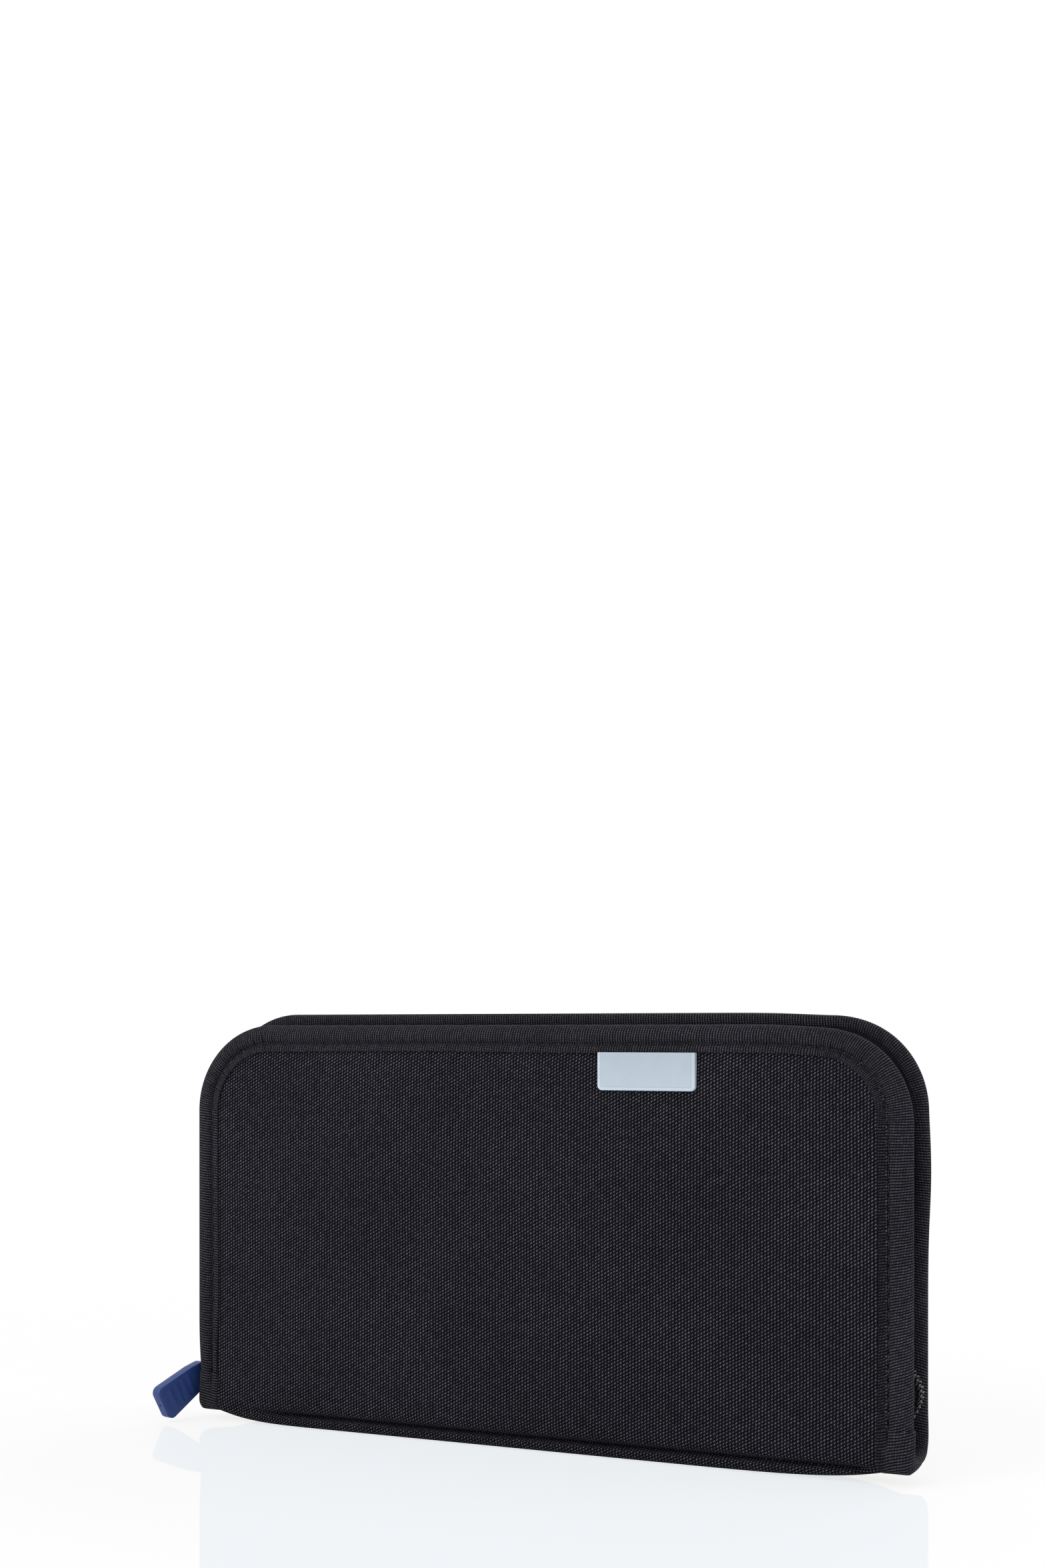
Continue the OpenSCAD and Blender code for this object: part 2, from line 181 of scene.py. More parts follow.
def mapped_grid(name, columns, rows, place, outward, thickness=0.0):
    """A sheet laid vertex by vertex: place(s, t) gives its points and its UV in millimetres.

    outward is a direction that the middle of the sheet's outer face looks in.
    """
    deselect()
    bpy.ops.mesh.primitive_grid_add(x_subdivisions=columns, y_subdivisions=rows, size=1)
    piece = named(name)
    mesh = piece.data
    flat = np.empty(len(mesh.vertices) * 3)
    mesh.vertices.foreach_get("co", flat)
    flat = flat.reshape(-1, 3)
    points, cloth = place(flat[:, 0] + 0.5, flat[:, 1] + 0.5)
    mesh.vertices.foreach_set("co", points.ravel())
    corners = np.empty(len(mesh.loops), dtype=np.int32)
    mesh.loops.foreach_get("vertex_index", corners)
    mesh.uv_layers[0].data.foreach_set("uv", (cloth / MM)[corners].astype(np.float32).ravel())
    mesh.update()
    middle = mesh.polygons[(rows // 2) * columns + columns // 2]
    if middle.normal.dot(Vector(outward)) < 0:
        mesh.flip_normals()
    if thickness:
        modify(piece, "SOLIDIFY", thickness=thickness, offset=-1, use_even_offset=False)
    shade(piece)
    return piece


def smooth_line(points, at):
    """Points at equal shares of length along a smooth curve through a few, and its length."""
    points = np.array(points, float)
    knots = np.linspace(0, len(points) - 1, 30 * len(points))
    start = np.minimum(knots.astype(int), len(points) - 2)
    part = (knots - start)[:, None]
    before, after = np.maximum(start - 1, 0), np.minimum(start + 2, len(points) - 1)
    a, b, c, d = points[before], points[start], points[start + 1], points[after]
    line = b + 0.5 * part * (c - a + part * (2 * a - 5 * b + 4 * c - d
                                             + part * (3 * (b - c) + d - a)))
    gone = np.concatenate([[0], np.cumsum(np.linalg.norm(np.diff(line, axis=0), axis=1))])
    spots = [np.interp(at * gone[-1], gone, line[:, axis]) for axis in range(line.shape[1])]
    return np.stack(spots, axis=-1), gone[-1]


def unit(vectors):
    """Vectors brought to a length of 1."""
    return vectors / np.linalg.norm(vectors, axis=1)[:, None]


def heading(points, at, reach):
    """Directions along that curve at shares of its length, taken reach to both sides."""
    ahead, _ = smooth_line(points, np.clip(at + reach, 0, 1))
    behind, _ = smooth_line(points, np.clip(at - reach, 0, 1))
    return unit(ahead - behind)


def hump(value, middle, reach):
    """1 at the middle, falling off smoothly within about the reach to both sides."""
    return np.exp(-((value - middle) / reach) ** 2)


def smoothstep(value, low, high):
    """0 below low, 1 above high, and a smooth rise between."""
    share = np.clip((value - low) / (high - low), 0, 1)
    return share * share * (3 - 2 * share)


# ---- the covers' outline and places ----

class Outline:
    """A cover's edge from its left foot over the top to its right foot."""

    def __init__(self, base):
        self.base = base
        self.side = COVER_TOP - CORNER - base
        self.bend = CORNER * np.pi / 2
        self.top = 2 * (HALF_W - CORNER)
        self.length = 2 * self.side + 2 * self.bend + self.top

    def at(self, along, inset=0.0):
        """x and y of the point inset from the edge, and the edge's outward direction."""
        up = np.clip(along, 0, self.side)
        turn = np.clip((along - self.side) / CORNER, 0, np.pi / 2)
        across = np.clip(along - self.side - self.bend, 0, self.top)
        turn = turn + np.clip((along - self.side - self.bend - self.top) / CORNER, 0, np.pi / 2)
        down = np.clip(along - self.side - 2 * self.bend - self.top, 0, self.side)
        out_x, out_y = -np.cos(turn), np.sin(turn)
        x = CORNER - HALF_W + across + (CORNER - inset) * out_x
        y = self.base + up - down + (CORNER - inset) * out_y
        return x, y, out_x, out_y

    def spread(self, along):
        """How much wider than usual the ribbon lies: it was sewn on by hand and eye."""
        right = smoothstep(along, self.length - self.side - 40 * MM, self.length - self.side)
        left_foot = 1 - smoothstep(along, 0, 26 * MM)
        wander = 0.02 * np.sin(along / (17 * MM))
        return NARROW + (SPREAD - NARROW) * right - 0.1 * left_foot + wander

    def bend_share(self, along):
        """1 round the two corners and 0 along the straight edges, with soft steps."""
        left = smoothstep(along, self.side - 4 * MM, self.side + 8 * MM)
        left_end = self.side + self.bend
        right = smoothstep(along, left_end + self.top - 8 * MM, left_end + self.top + 6 * MM)
        last = self.length - self.side
        return (left * (1 - smoothstep(along, left_end - 4 * MM, left_end + 8 * MM))
                + right * (1 - smoothstep(along, last - 6 * MM, last + 6 * MM)))


class Cover:
    """One cover: which way it faces, how high it stands and the body that carries it."""

    def __init__(self, name, face, lift, middle, end):
        self.name = name
        self.body = name + "_cover"
        self.face = face                # the side along Y that its outer face looks to
        self.lift = lift
        rear = max(face, 0)
        # wear has bowed the rear cover's right edge outwards and lowered its top
        self.swell = rear * 0.9 * MM
        self.trim = (0.5 - 0.2 * rear) * MM
        self.low_top = rear * 0.8 * MM
        self.crease = CREASE + (0.6 - 0.6 * rear)    # the front cover has creased deeper
        # the pull has pressed both left edges in, the rear one all the way up
        self.pressed, self.grazed = 0.95 * MM, rear * 0.5 * MM
        self.sag = 0.9 * MM
        self.sag_reach = (12 + 5 * rear) * MM
        self.middle = np.array(middle) * MM
        self.end = np.array(end) * MM
        self.out = (0, face, 0)
        # the fold that it turns on, and where its cloth has become flat
        self.hinge = (0, face * (FACE_Y - 4.2 * MM), 0)
        self.flat = (0, face * FACE_Y, lift + 4.5 * MM)

    def worn(self, x, y):
        """x and y of the bound edge as use has left them."""
        bow = self.swell * hump(y, SWELL_Y, 17 * MM) - self.trim
        press = self.grazed + self.pressed * hump(y, PULL_Y, 11 * MM)
        drop = self.low_top + self.sag * hump(x, SAG_X, self.sag_reach)
        return (x + bow * smoothstep(x, HALF_W - 30 * MM, HALF_W - 4 * MM)
                + press * smoothstep(-x, HALF_W - 12 * MM, HALF_W - 2 * MM),
                y - drop * smoothstep(y, 60 * MM, COVER_TOP))

    def place(self, x, y, v):
        """Points from the cover's own coordinates."""
        return np.stack([x, self.face * (FACE_Y - v), y + self.lift], axis=-1)

    def inward(self, share, reach):
        """Directions into the wallet, square to the end section at shares of its length."""
        run = heading(self.end, share, reach)
        return np.stack([-run[:, 1], run[:, 0]], axis=-1) * -self.face

    def fold_section(self, x, share, tuck):
        """Points of the outer cloth between the panel's foot and the middle of the spine."""
        middle, _ = smooth_line(self.middle, share)
        end, _ = smooth_line(self.end, share)
        end = end + tuck * self.inward(share, 0.01)
        # the belly keeps to the ground almost to the ends, and the creases rise before it does
        closing = np.where(
            x > 0, np.clip(x / (HALF_W - 6 * MM), 0, 1) ** (2.2 + 8 * share),
            np.clip((-x - 70 * MM) / (HALF_W - 74 * MM), 0, 1) ** (2.5 + 2.3 * share))
        section = middle + (end - middle) * closing[:, None]
        height = (section[:, 1] - self.lift) / MM - CREASE_Z
        height = np.where(height > 0, height / 1.05, height / 0.55)   # sharper towards the ground
        open_end = smoothstep(x, 102 * MM, 110 * MM) + smoothstep(-x, 84 * MM, 102 * MM)
        dent = self.crease * MM * np.exp(-height ** 2) * (1 - open_end)
        return np.stack([x, section[:, 0] - self.face * dent, section[:, 1]], axis=-1)


FRONT = Cover("front", -1, 0.0, MIDDLE_FRONT, END_FRONT)
REAR = Cover("rear", 1, REAR_LIFT, MIDDLE_REAR, END_REAR)
COVERS = (FRONT, REAR)


# ---- sizes and colours that a user would change ----

def length(name, text, value):
    """A length property in metres."""
    return FloatProperty(name=name, description=text, default=value, unit="LENGTH", precision=5)


def colour(name, text, code):
    """A colour property given as an sRGB hex value."""
    return FloatVectorProperty(name=name, description=text, subtype="COLOR", size=3, min=0, max=1,
                               default=linear(code))


def linear(code):
    """Linear RGB of an sRGB hex value."""
    channels = [int(code[i:i + 2], 16) / 255 for i in (1, 3, 5)]
    return tuple(c / 12.92 if c <= 0.04045 else ((c + 0.055) / 1.055) ** 2.4 for c in channels)


class ClothSettings(bpy.types.PropertyGroup):
    """Outer ballistic cloth and its panel."""

    thread_x: length("Thread pitch", "Spacing of the thick threads across the wallet", 0.98 * MM)
    thread_y: length("Row pitch", "Spacing of the crowns along one thread", 1.04 * MM)
    crown: length("Panel crown", "How far the panel's middle stands proud of its edge", 0.6 * MM)
    ripple: length("Ripple", "Height of the cloth's shallow unevenness", 0.14 * MM)
    dip: length("Dip", "How far the cloth sinks beside the ribbon", 0.35 * MM)
    thickness: length("Thickness", "Thickness of the coated cloth", 0.9 * MM)
    dark: colour("Shaded thread", "Colour between the threads", "#07070b")
    light: colour("Lit thread", "Colour of the threads' crowns", "#6b6a75")


class RibbonSettings(bpy.types.PropertyGroup):
    """Grosgrain edge ribbon and its stitches."""

    rib: length("Rib pitch", "Spacing of the ribs along the ribbon", 0.83 * MM)
    pucker: length("Pucker", "How far the stitches pull the ribbon in", 0.3 * MM)
    gather: length("Gather", "Depth of the creases across the ribbon in a bend", 0.24 * MM)
    thickness: length("Thickness", "Thickness of the ribbon", 0.45 * MM)
    stitch: length("Stitch", "Distance from stitch to stitch", 4.0 * MM)
    stitch_gap: length("Stitch gap", "Length of a stitch hidden in the cloth", 0.7 * MM)
    thread: length("Thread", "Thickness of the sewing thread", 0.32 * MM)
    ground: colour("Ribbon ground", "Colour between the ribs", "#09090c")
    shade: colour("Ribbon", "Colour of the ribbon's ribs", "#4c4a52")
    thread_shade: colour("Sewing thread", "Colour of the sewing thread", "#2e2f36")


class ZipSettings(bpy.types.PropertyGroup):
    """Zip tapes, coils and metal parts."""

    pitch: length("Coil pitch", "Distance from loop to loop of one half", 1.4 * MM)
    filament: length("Filament", "Thickness of the coil's filament", 0.5 * MM)
    bow: length("Bow", "How far the zip bows out at its lower right end", 4.9 * MM)
    bow_z: length("Bow height", "Height of the middle of the bow", 25 * MM)
    bow_reach: length("Bow reach", "Half the length of the bow", 13.5 * MM)
    coil_shade: colour("Coil", "Colour of the nylon coil", "#0d0d10")
    tape_ground: colour("Tape ground", "Colour between the tape's threads", "#09090b")
    tape_shade: colour("Tape", "Colour of the zip tape's threads", "#2c2c31")
    metal_shade: colour("Metal", "Colour of the plated metal", "#5a5b60")


class InsideSettings(bpy.types.PropertyGroup):
    """Lining and pockets."""

    hem: length("Hem", "Height of the folded hem at a pocket's mouth", 7 * MM)
    puff: length("Puff", "How far the middle of a pocket stands off", 0.5 * MM)
    lining_ground: colour("Lining ground", "Colour between the lining's threads", "#23252b")
    lining_shade: colour("Lining", "Colour of the lining's threads", "#4a4d57")
    pocket_ground: colour("Pocket ground", "Colour between the pockets' threads", "#1c1e24")
    pocket_shade: colour("Pockets", "Colour of the pockets' threads", "#454852")
    core_shade: colour("Board", "Colour of the hidden boards", "#8a8a86")
    foam_shade: colour("Foam", "Colour of the hidden foam", "#5c5c60")


class FittingSettings(bpy.types.PropertyGroup):
    """Rubber pull and badge."""

    pull_turn: FloatProperty(name="Pull turn", description="Turn of the pull towards the front",
                             default=np.radians(74), subtype="ANGLE")
    pull_drop: FloatProperty(name="Pull slope", description="Slope of the pull below level",
                             default=np.radians(28), subtype="ANGLE")
    pull_length: length("Pull length", "Length of the rubber pull", 22.2 * MM)
    pull_width: length("Pull width", "Width of the rubber pull at its free end", 12 * MM)
    pull_waist: length("Pull waist", "Width of the rubber pull beside the ring", 9.2 * MM)
    pull_thick: length("Pull thickness", "Thickness of the rubber pull", 3.4 * MM)
    ribs: IntProperty(name="Grip ribs", description="Raised ribs on each face of the pull",
                      default=4, min=0, max=6)
    pull_shade: colour("Pull", "Colour of the rubber pull", "#29407c")
    badge_shade: colour("Badge", "Colour of the milky rubber badge", "#b2bec8")


class StageSettings(bpy.types.PropertyGroup):
    """Floor, lamps and camera."""

    turn: FloatProperty(name="Camera turn", description="How far the camera looks to the left",
                        default=np.radians(25.3), subtype="ANGLE")
    place: FloatVectorProperty(name="Camera place", description="Where the camera stands",
                               default=(0.261, -0.564, 0.1276), subtype="TRANSLATION")
    lens: FloatProperty(name="Lens", description="Focal length on a 36 mm frame", default=46.13)
    rise: FloatProperty(name="Lens rise", description="Upward shift of the lens", default=0.159)
    key: FloatProperty(name="Key lamp", description="Power of the large lamp", default=8.0)
    fill: FloatProperty(name="Fill lamp", description="Power of the side lamp", default=3.0)
    sky: FloatProperty(name="Surround", description="Strength of the room's light", default=0.68)


SETTINGS = {
    "wallet_cloth": ClothSettings, "wallet_ribbon": RibbonSettings, "wallet_zip": ZipSettings,
    "wallet_inside": InsideSettings, "wallet_fittings": FittingSettings,
    "wallet_stage": StageSettings}


# ---- materials ----

def add(tree, kind, settings=None, links=None):
    """Adds one shader node with its own settings and its inputs: values or other outputs."""
    node = tree.nodes.new("ShaderNode" + kind)
    for key, value in (settings or {}).items():
        setattr(node, key, value)
    for key, value in (links or {}).items():
        if isinstance(value, bpy.types.NodeSocket):
            tree.links.new(value, node.inputs[key])
        elif isinstance(value, bpy.types.Node):
            tree.links.new(value.outputs[0], node.inputs[key])
        else:
            node.inputs[key].default_value = value
    return node


def vector(tree, operation, *values):
    """One step of vector arithmetic."""
    return add(tree, "VectorMath", {"operation": operation}, dict(enumerate(values))).outputs[0]


def larger(tree, one, other):
    """The larger of two values."""
    return add(tree, "Math", {"operation": "MAXIMUM"}, {0: one, 1: other}).outputs[0]


def scaled(tree, source, factor):
    """A vector or colour times one value."""
    return add(tree, "VectorMath", {"operation": "SCALE"}, {0: source, 3: factor}).outputs[0]


def product(tree, *factors):
    """Values multiplied together."""
    total = factors[0]
    for factor in factors[1:]:
        total = add(tree, "Math", {"operation": "MULTIPLY"}, {0: total, 1: factor}).outputs[0]
    return total


def remap(tree, value, from_range, to_range, kind="LINEAR"):
    """A value carried from one range into another and held inside it."""
    return add(tree, "MapRange", {"interpolation_type": kind}, {
        "Value": value, "From Min": from_range[0], "From Max": from_range[1],
        "To Min": to_range[0], "To Max": to_range[1]}).outputs[0]


def noise(tree, source, scale, detail):
    """Cloudy noise, whose grain is one over the scale in the source's own unit."""
    return add(tree, "TexNoise", None, {
        "Vector": source, "Scale": scale, "Detail": detail}).outputs["Fac"]


def patchy(tree, source, scale, low, high):
    """Slow variation over a surface, between two factors."""
    return remap(tree, noise(tree, source, scale, 3.0), (0.3, 0.7), (low, high))


def object_place(tree):
    """Places on the piece in metres."""
    return add(tree, "TexCoord").outputs["Object"]


def opaque(rgb):
    """A colour with full alpha."""
    return (*rgb, 1.0)


def material(name):
    """An empty node material and its tree."""
    made = bpy.data.materials.new(name)
    made.use_nodes = True
    made.node_tree.nodes.clear()
    return made, made.node_tree


def surface(tree, height, depth, **sockets):
    """Ends a material in a principled shader whose bump stands depth metres high."""
    bump = add(tree, "Bump", None, {"Height": height, "Distance": depth, "Strength": 1.0})
    links = {key.replace("_", " "): value for key, value in sockets.items()}
    shader = add(tree, "BsdfPrincipled", None, {**links, "Normal": bump})
    add(tree, "OutputMaterial", None, {"Surface": shader})


def yarns(tree, pitch, row, lean=0.0, stagger=0.5, wide=0.4, tall=0.5, wander=0.2):
    """Crowns of a weave's yarns on the UV map: their height from 0 to 1, and each one's chance.

    Crowns stand in columns pitch metres apart, row metres from one to the next, and each column
    steps on by the share stagger of a row. wide and tall are a crown's half size as shares of
    its cell, and lean is how far it slants.
    """
    uv = add(tree, "UVMap")
    drift = add(tree, "TexNoise", None, {"Vector": uv, "Scale": 0.3, "Detail": 2.0})
    place = vector(tree, "ADD", uv, scaled(tree, drift.outputs["Color"], wander))
    cells = vector(tree, "MULTIPLY", place, (MM / pitch, MM / row, 0.0))
    columns = add(tree, "SeparateXYZ", None, {0: cells})
    number = add(tree, "Math", {"operation": "FLOOR"}, {0: columns.outputs["X"]})
    step = add(tree, "CombineXYZ", None, {"Y": product(tree, number, stagger)})
    laid = vector(tree, "ADD", cells, step)
    chance = add(tree, "TexWhiteNoise", {"noise_dimensions": "2D"}, {
        "Vector": vector(tree, "FLOOR", laid)})
    centred = vector(tree, "SUBTRACT", vector(tree, "FRACTION", laid), (0.5, 0.5, 0.0))
    parts = add(tree, "SeparateXYZ", None, {0: centred})
    leaning = add(tree, "Math", {"operation": "MULTIPLY_ADD"}, {
        0: parts.outputs["Y"], 1: -lean, 2: parts.outputs["X"]})
    spot = add(tree, "CombineXYZ", None, {"X": leaning, "Y": parts.outputs["Y"]})
    sized = vector(tree, "DIVIDE", spot, (wide, tall, 1.0))
    far = add(tree, "VectorMath", {"operation": "LENGTH"}, {0: sized})
    crown = remap(tree, far.outputs["Value"], (0, 1), (1, 0), "SMOOTHSTEP")
    return crown, chance.outputs["Value"]


def woven(name, dark, light, depth, spread, roughness=0.7, sheen=0.02, painted_shading=None, **weave):
    """A cloth of one dark ground and lit yarn crowns, whose lustre differs from yarn to yarn."""
    made, tree = material(name)
    crown, chance = yarns(tree, **weave)
    lustre = remap(tree, chance, (0, 1), (1 - spread, 1 + spread))
    # handling has polished some patches more than others
    worn = patchy(tree, add(tree, "UVMap"), 0.02, 0.85, 1.15)
    # the yarns of the other direction lie lower and catch a little light between the crowns
    below = noise(tree, add(tree, "UVMap"), MM / (0.4 * weave["pitch"]), 1.0)
    raised = larger(tree, crown, remap(tree, below, (0.4, 0.7), (0, 0.06)))
    # an optional further factor paints shade into the tone
    level = product(tree, raised, lustre, worn, painted_shading(tree) if painted_shading else 1.0)
    tone = add(tree, "Mix", {"data_type": "RGBA", "clamp_factor": False}, {
        0: level, 6: opaque(dark), 7: opaque(light)})
    rough = remap(tree, crown, (0, 1), (0.95, roughness))
    # yarns shade each other, so cloth mirrors far less than its smooth polymer would
    surface(tree, crown, depth, Base_Color=tone.outputs[2], Roughness=rough,
            Sheen_Weight=sheen, Sheen_Roughness=0.4, Specular_IOR_Level=0.05)
    return made


def ballistic_nylon(cloth):
    """Ballistic nylon: thick plied yarns, each showing as a short lit dash that leans over."""
    return woven("ballistic_nylon_weave", cloth.dark, cloth.light, 0.14 * MM, 0.35,
                 roughness=0.5, pitch=cloth.thread_x, row=cloth.thread_y, lean=0.55, wide=0.3,
                 tall=0.45, wander=0.5)


def grosgrain(ribbon):
    """Grosgrain polyester ribbon: firm ribs right across its width, faintly beaded by the weft."""
    def painted_shade_strip(tree):
        # painted shade: the strip beside the panel is darkened down the right edge, as it lies in
        # shade there
        parts = add(tree, "SeparateXYZ", None, {0: add(tree, "UVMap")})
        strip = remap(tree, parts.outputs["Y"], (1.8, 3.2), (1, 0))
        outline = Outline(FOLD_TOP)
        down = (outline.length - outline.side) / MM
        edge = remap(tree, parts.outputs["X"], (down - 25, down + 5), (0, 1))
        return remap(tree, product(tree, strip, edge), (0, 1), (1, 0.5))

    return woven("grosgrain_ribbon", ribbon.ground, ribbon.shade, 0.2 * MM, 0.3, roughness=0.6,
                 sheen=0.03, painted_shading=painted_shade_strip, pitch=ribbon.rib, row=0.78 * MM, lean=0.08,
                 stagger=0.1, wide=0.45, tall=0.85, wander=0.5)


def plain_weave(name, ground, shade, pitch):
    """Plain-woven polyester cloth: fine square threads over and under each other."""
    return woven(name, ground, shade, 0.06 * MM, 0.25, pitch=pitch, row=pitch, wide=0.55,
                 tall=0.6, wander=0.15)


def moulded(name, shade, roughness, grain, soft=0.0, **sockets):
    """Moulded rubber or plastic: one colour, a fine etched grain and faint flow marks."""
    made, tree = material(name)
    where = object_place(tree)
    etched = noise(tree, where, 1 / grain, 2.0)
    bright = patchy(tree, where, 1 / (9 * MM), 1 - soft, 1 + soft)
    rough = remap(tree, etched, (0, 1), (roughness - 0.08, roughness + 0.08))
    surface(tree, etched, 0.02 * MM, Base_Color=scaled(tree, shade, bright), Roughness=rough,
            **sockets)
    return made


# ---- outer cloth ----

def rounded_panel(s, t, inset, foot, corner_end, panel_end):
    """x, y and half width of a sheet whose edge lies inset from the cover's, down to its foot.

    The upper corners are round: corner_end and panel_end are the shares of the rows that end at
    the corners and at the foot.
    """
    radius = CORNER - inset
    swing = (1 - np.clip(t / corner_end, 0, 1)) * np.pi / 2
    down = np.clip((t - corner_end) / (panel_end - corner_end), 0, 1)
    y = COVER_TOP - CORNER + radius * np.sin(swing) - down * (COVER_TOP - CORNER - foot)
    reach = HALF_W - inset - radius * (1 - np.cos(swing))
    return (2 * s - 1) * reach, y, reach


def outer_cloth(cover, cloth):
    """One cover's cloth from under the top ribbon down to the middle of the spine's underside."""
    columns, rows = 150, 165
    panel_end = 0.6                         # share of the rows above the fold

    def place(s, t):
        x, y, reach = rounded_panel(s, t, TUCK, FOLD_TOP, 0.16, panel_end)
        # the cloth ends further in where the ribbon is wider
        x = x - 0.9 * MM * smoothstep(x, HALF_W - 30 * MM, HALF_W - 7 * MM)
        # distance from the ribbon's inner edge, for the dip beside it
        sides = reach - np.abs(x) - 1.1 * MM * smoothstep(x, 0.8 * HALF_W, 0.95 * HALF_W)
        head = COVER_TOP - TUCK - y
        edge = np.minimum(sides, head) - (RIBBON_W - TUCK)
        full = 1 - np.exp(-np.maximum(edge, 0) / (5 * MM))
        u, w = x / MM, y / MM
        ripple = (np.sin(u / 13 + 0.6 * np.sin(w / 19)) + np.sin(w / 11 + u / 47 + 1)
                  + 0.7 * np.sin(u / 7.3 - w / 15 + 2))
        bulge = (1 - (x / HALF_W) ** 2) * (0.35 + 0.65 * (1 - (2 * y / COVER_TOP - 1) ** 2))
        dip = cloth.dip * np.exp(-np.maximum(edge, 0) / (1.6 * MM))
        v = CLOTH_V + dip - full * (0.3 * MM + cloth.crown * bulge + cloth.ripple * ripple)
        points = cover.place(x, y, v)
        share = np.clip((t - panel_end) / (1 - panel_end), 0, 1)
        folded = cover.fold_section(x, share, CLOTH_V)
        # the panel's own shape fades out over the first third of the fold
        foot = cover.place(x, np.full_like(x, FOLD_TOP), v)
        start = cover.fold_section(x, np.zeros_like(x), CLOTH_V)
        folded = folded + (foot - start) * (1 - smoothstep(share, 0, 0.4))[:, None]
        wrap = (share > 0)[:, None]
        points = np.where(wrap, folded, points)
        # down the fold the weave keeps to the cloth's own length
        path = points.reshape(-1, columns + 1, 3)
        steps = np.linalg.norm(np.diff(path, axis=0), axis=2)
        steps = np.where(share.reshape(-1, columns + 1)[1:] > 0, steps, 0)
        run = np.concatenate([np.zeros((1, columns + 1)), np.cumsum(steps, axis=0)]).ravel()
        return points, np.stack([x, np.where(share > 0, FOLD_TOP - run, y)], axis=-1)

    return mapped_grid(
        cover.name + "_outer_cloth", columns, rows, place, cover.out, cloth.thickness)


class WALLET_OT_outer_cloth(bpy.types.Operator):
    """Models the ballistic cloth over both covers and round the spine"""

    bl_idname = "wallet.outer_cloth"
    bl_label = "Outer cloth"

    def execute(self, context):
        cloth = context.scene.wallet_cloth
        ballistic = ballistic_nylon(cloth)
        for cover in COVERS:
            piece = outer_cloth(cover, cloth)
            paint(piece, ballistic)
            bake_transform(piece)
            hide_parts(cover.name + "_cover_fabric")
        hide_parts("spine_fabric")
        return {"FINISHED"}


# ---- edge ribbon ----

def ribbon_profile(share):
    """Distance in from the edge, depth, and length along the ribbon's width at each share."""
    section, length = smooth_line(np.array(RIBBON_SECTION) * MM, share)
    return section[:, 0], section[:, 1], share * length


def puckered(inset, depth, along, outline, ribbon):
    """The ribbon's depth, pulled in wherever a stitch enters, and creased across in the bends."""
    bend = outline.bend_share(along)
    # both feet stay smooth, where the ribbon goes on round the spine's ends
    feet = smoothstep(np.minimum(along, outline.length - along), 0, 5 * MM)
    near = hump(inset, STITCH_IN, 1.5 * MM)
    phase = 2 * np.pi * along / ribbon.stitch
    pull = ribbon.pucker * np.maximum(np.cos(phase), -0.4) * near * (1 + 0.6 * bend)
    crease = np.sin(1.63 * phase + np.sin(along / (5 * MM)))
    beside = hump(inset, 5.4 * MM, 2.4 * MM)
    gathered = ribbon.gather * crease * beside * (0.15 + bend)
    # down the right edge the strip beside the panel has sunk
    right = smoothstep(along, outline.length - outline.side - 20 * MM, outline.length - 60 * MM)
    sunk = SUNK * right * smoothstep(inset, *STRIP)
    return depth + np.where(depth < EDGE_T / 2, (pull + gathered) * feet + sunk, 0)


def cover_ribbon(cover, ribbon):
    """Ribbon folded round the edge of a cover, from its left foot to its right foot."""
    outline = Outline(FOLD_TOP)

    def place(s, t):
        along = s * outline.length
        inset, depth, width = ribbon_profile(t)
        depth = puckered(inset, depth, along, outline, ribbon)
        x, y, _, _ = outline.at(along, inset * outline.spread(along))
        x, y = cover.worn(x, y)
        # the ribbon went on askew, so its ribs lean, most of all down the right edge
        right = smoothstep(along, outline.length - outline.side - 40 * MM, outline.length)
        skew = 0.5 * right - 0.12
        return cover.place(x, y, depth), np.stack([along + skew * width, width], axis=-1)

    return mapped_grid(cover.name + "_edge_ribbon", 860, 28, place, (0, 0, 1), ribbon.thickness)


def spine_end_ribbon(cover, side, ribbon):
    """Ribbon round half of one end of the spine, from a cover's foot to the spine's middle."""
    name = f"{cover.name}_{'left' if side < 0 else 'right'}_end_ribbon"
    _, run = smooth_line(cover.end, np.zeros(1))
    outline = Outline(FOLD_TOP)
    foot = outline.length if side > 0 else 0.0      # where the cover's own ribbon ends

    def place(s, t):
        inset, depth, width = ribbon_profile(t)
        # pulled tight round the end, the ribbon loses its valley and its edge becomes squarer
        outer = depth < EDGE_T / 2
        tight = smoothstep(s, 0.05, 0.4) * outer
        depth = depth + SUNK * (side > 0) * smoothstep(inset, *STRIP) * outer
        face = smoothstep(inset, 0.6 * MM, 1.8 * MM) * (1 - smoothstep(inset, 8.4 * MM, 9 * MM))
        depth = depth + tight * face * (-0.1 * MM - depth)
        if side < 0:
            inset = inset - tight * 0.3 * MM * hump(inset, 0.9 * MM, 0.7 * MM)
        inset = inset * (1 + (outline.spread(foot) - 1) * (1 - smoothstep(s, 0.5, 0.9)))
        # the edge is pressed thinner where it turns under, and thinnest below the slider
        press = 1 - 0.16 * np.sin(np.pi * np.clip(1.4 * s, 0, 1)) ** 2 - 0.3 * smoothstep(
            s, 0.6, 1)
        spot, _ = smooth_line(cover.end, s)
        # the fold's two halves meet square in the middle of the spine
        meet = smoothstep(s, 0.75, 1)[:, None]
        inward = cover.inward(s, 0.02) * (1 - meet) + np.array([0.0, 1.0]) * meet
        spot = spot + inward * (depth * press)[:, None]
        x, _ = cover.worn(side * (HALF_W - inset), spot[:, 1] - cover.lift)
        skew = 0.38 * (side > 0) - 0.12
        return (np.stack([x, spot[:, 0], spot[:, 1]], axis=-1),
                np.stack([foot + side * s * run + skew * width, width], axis=-1))

    return mapped_grid(name, 26, 28, place, (side, 0, 0.3), ribbon.thickness)


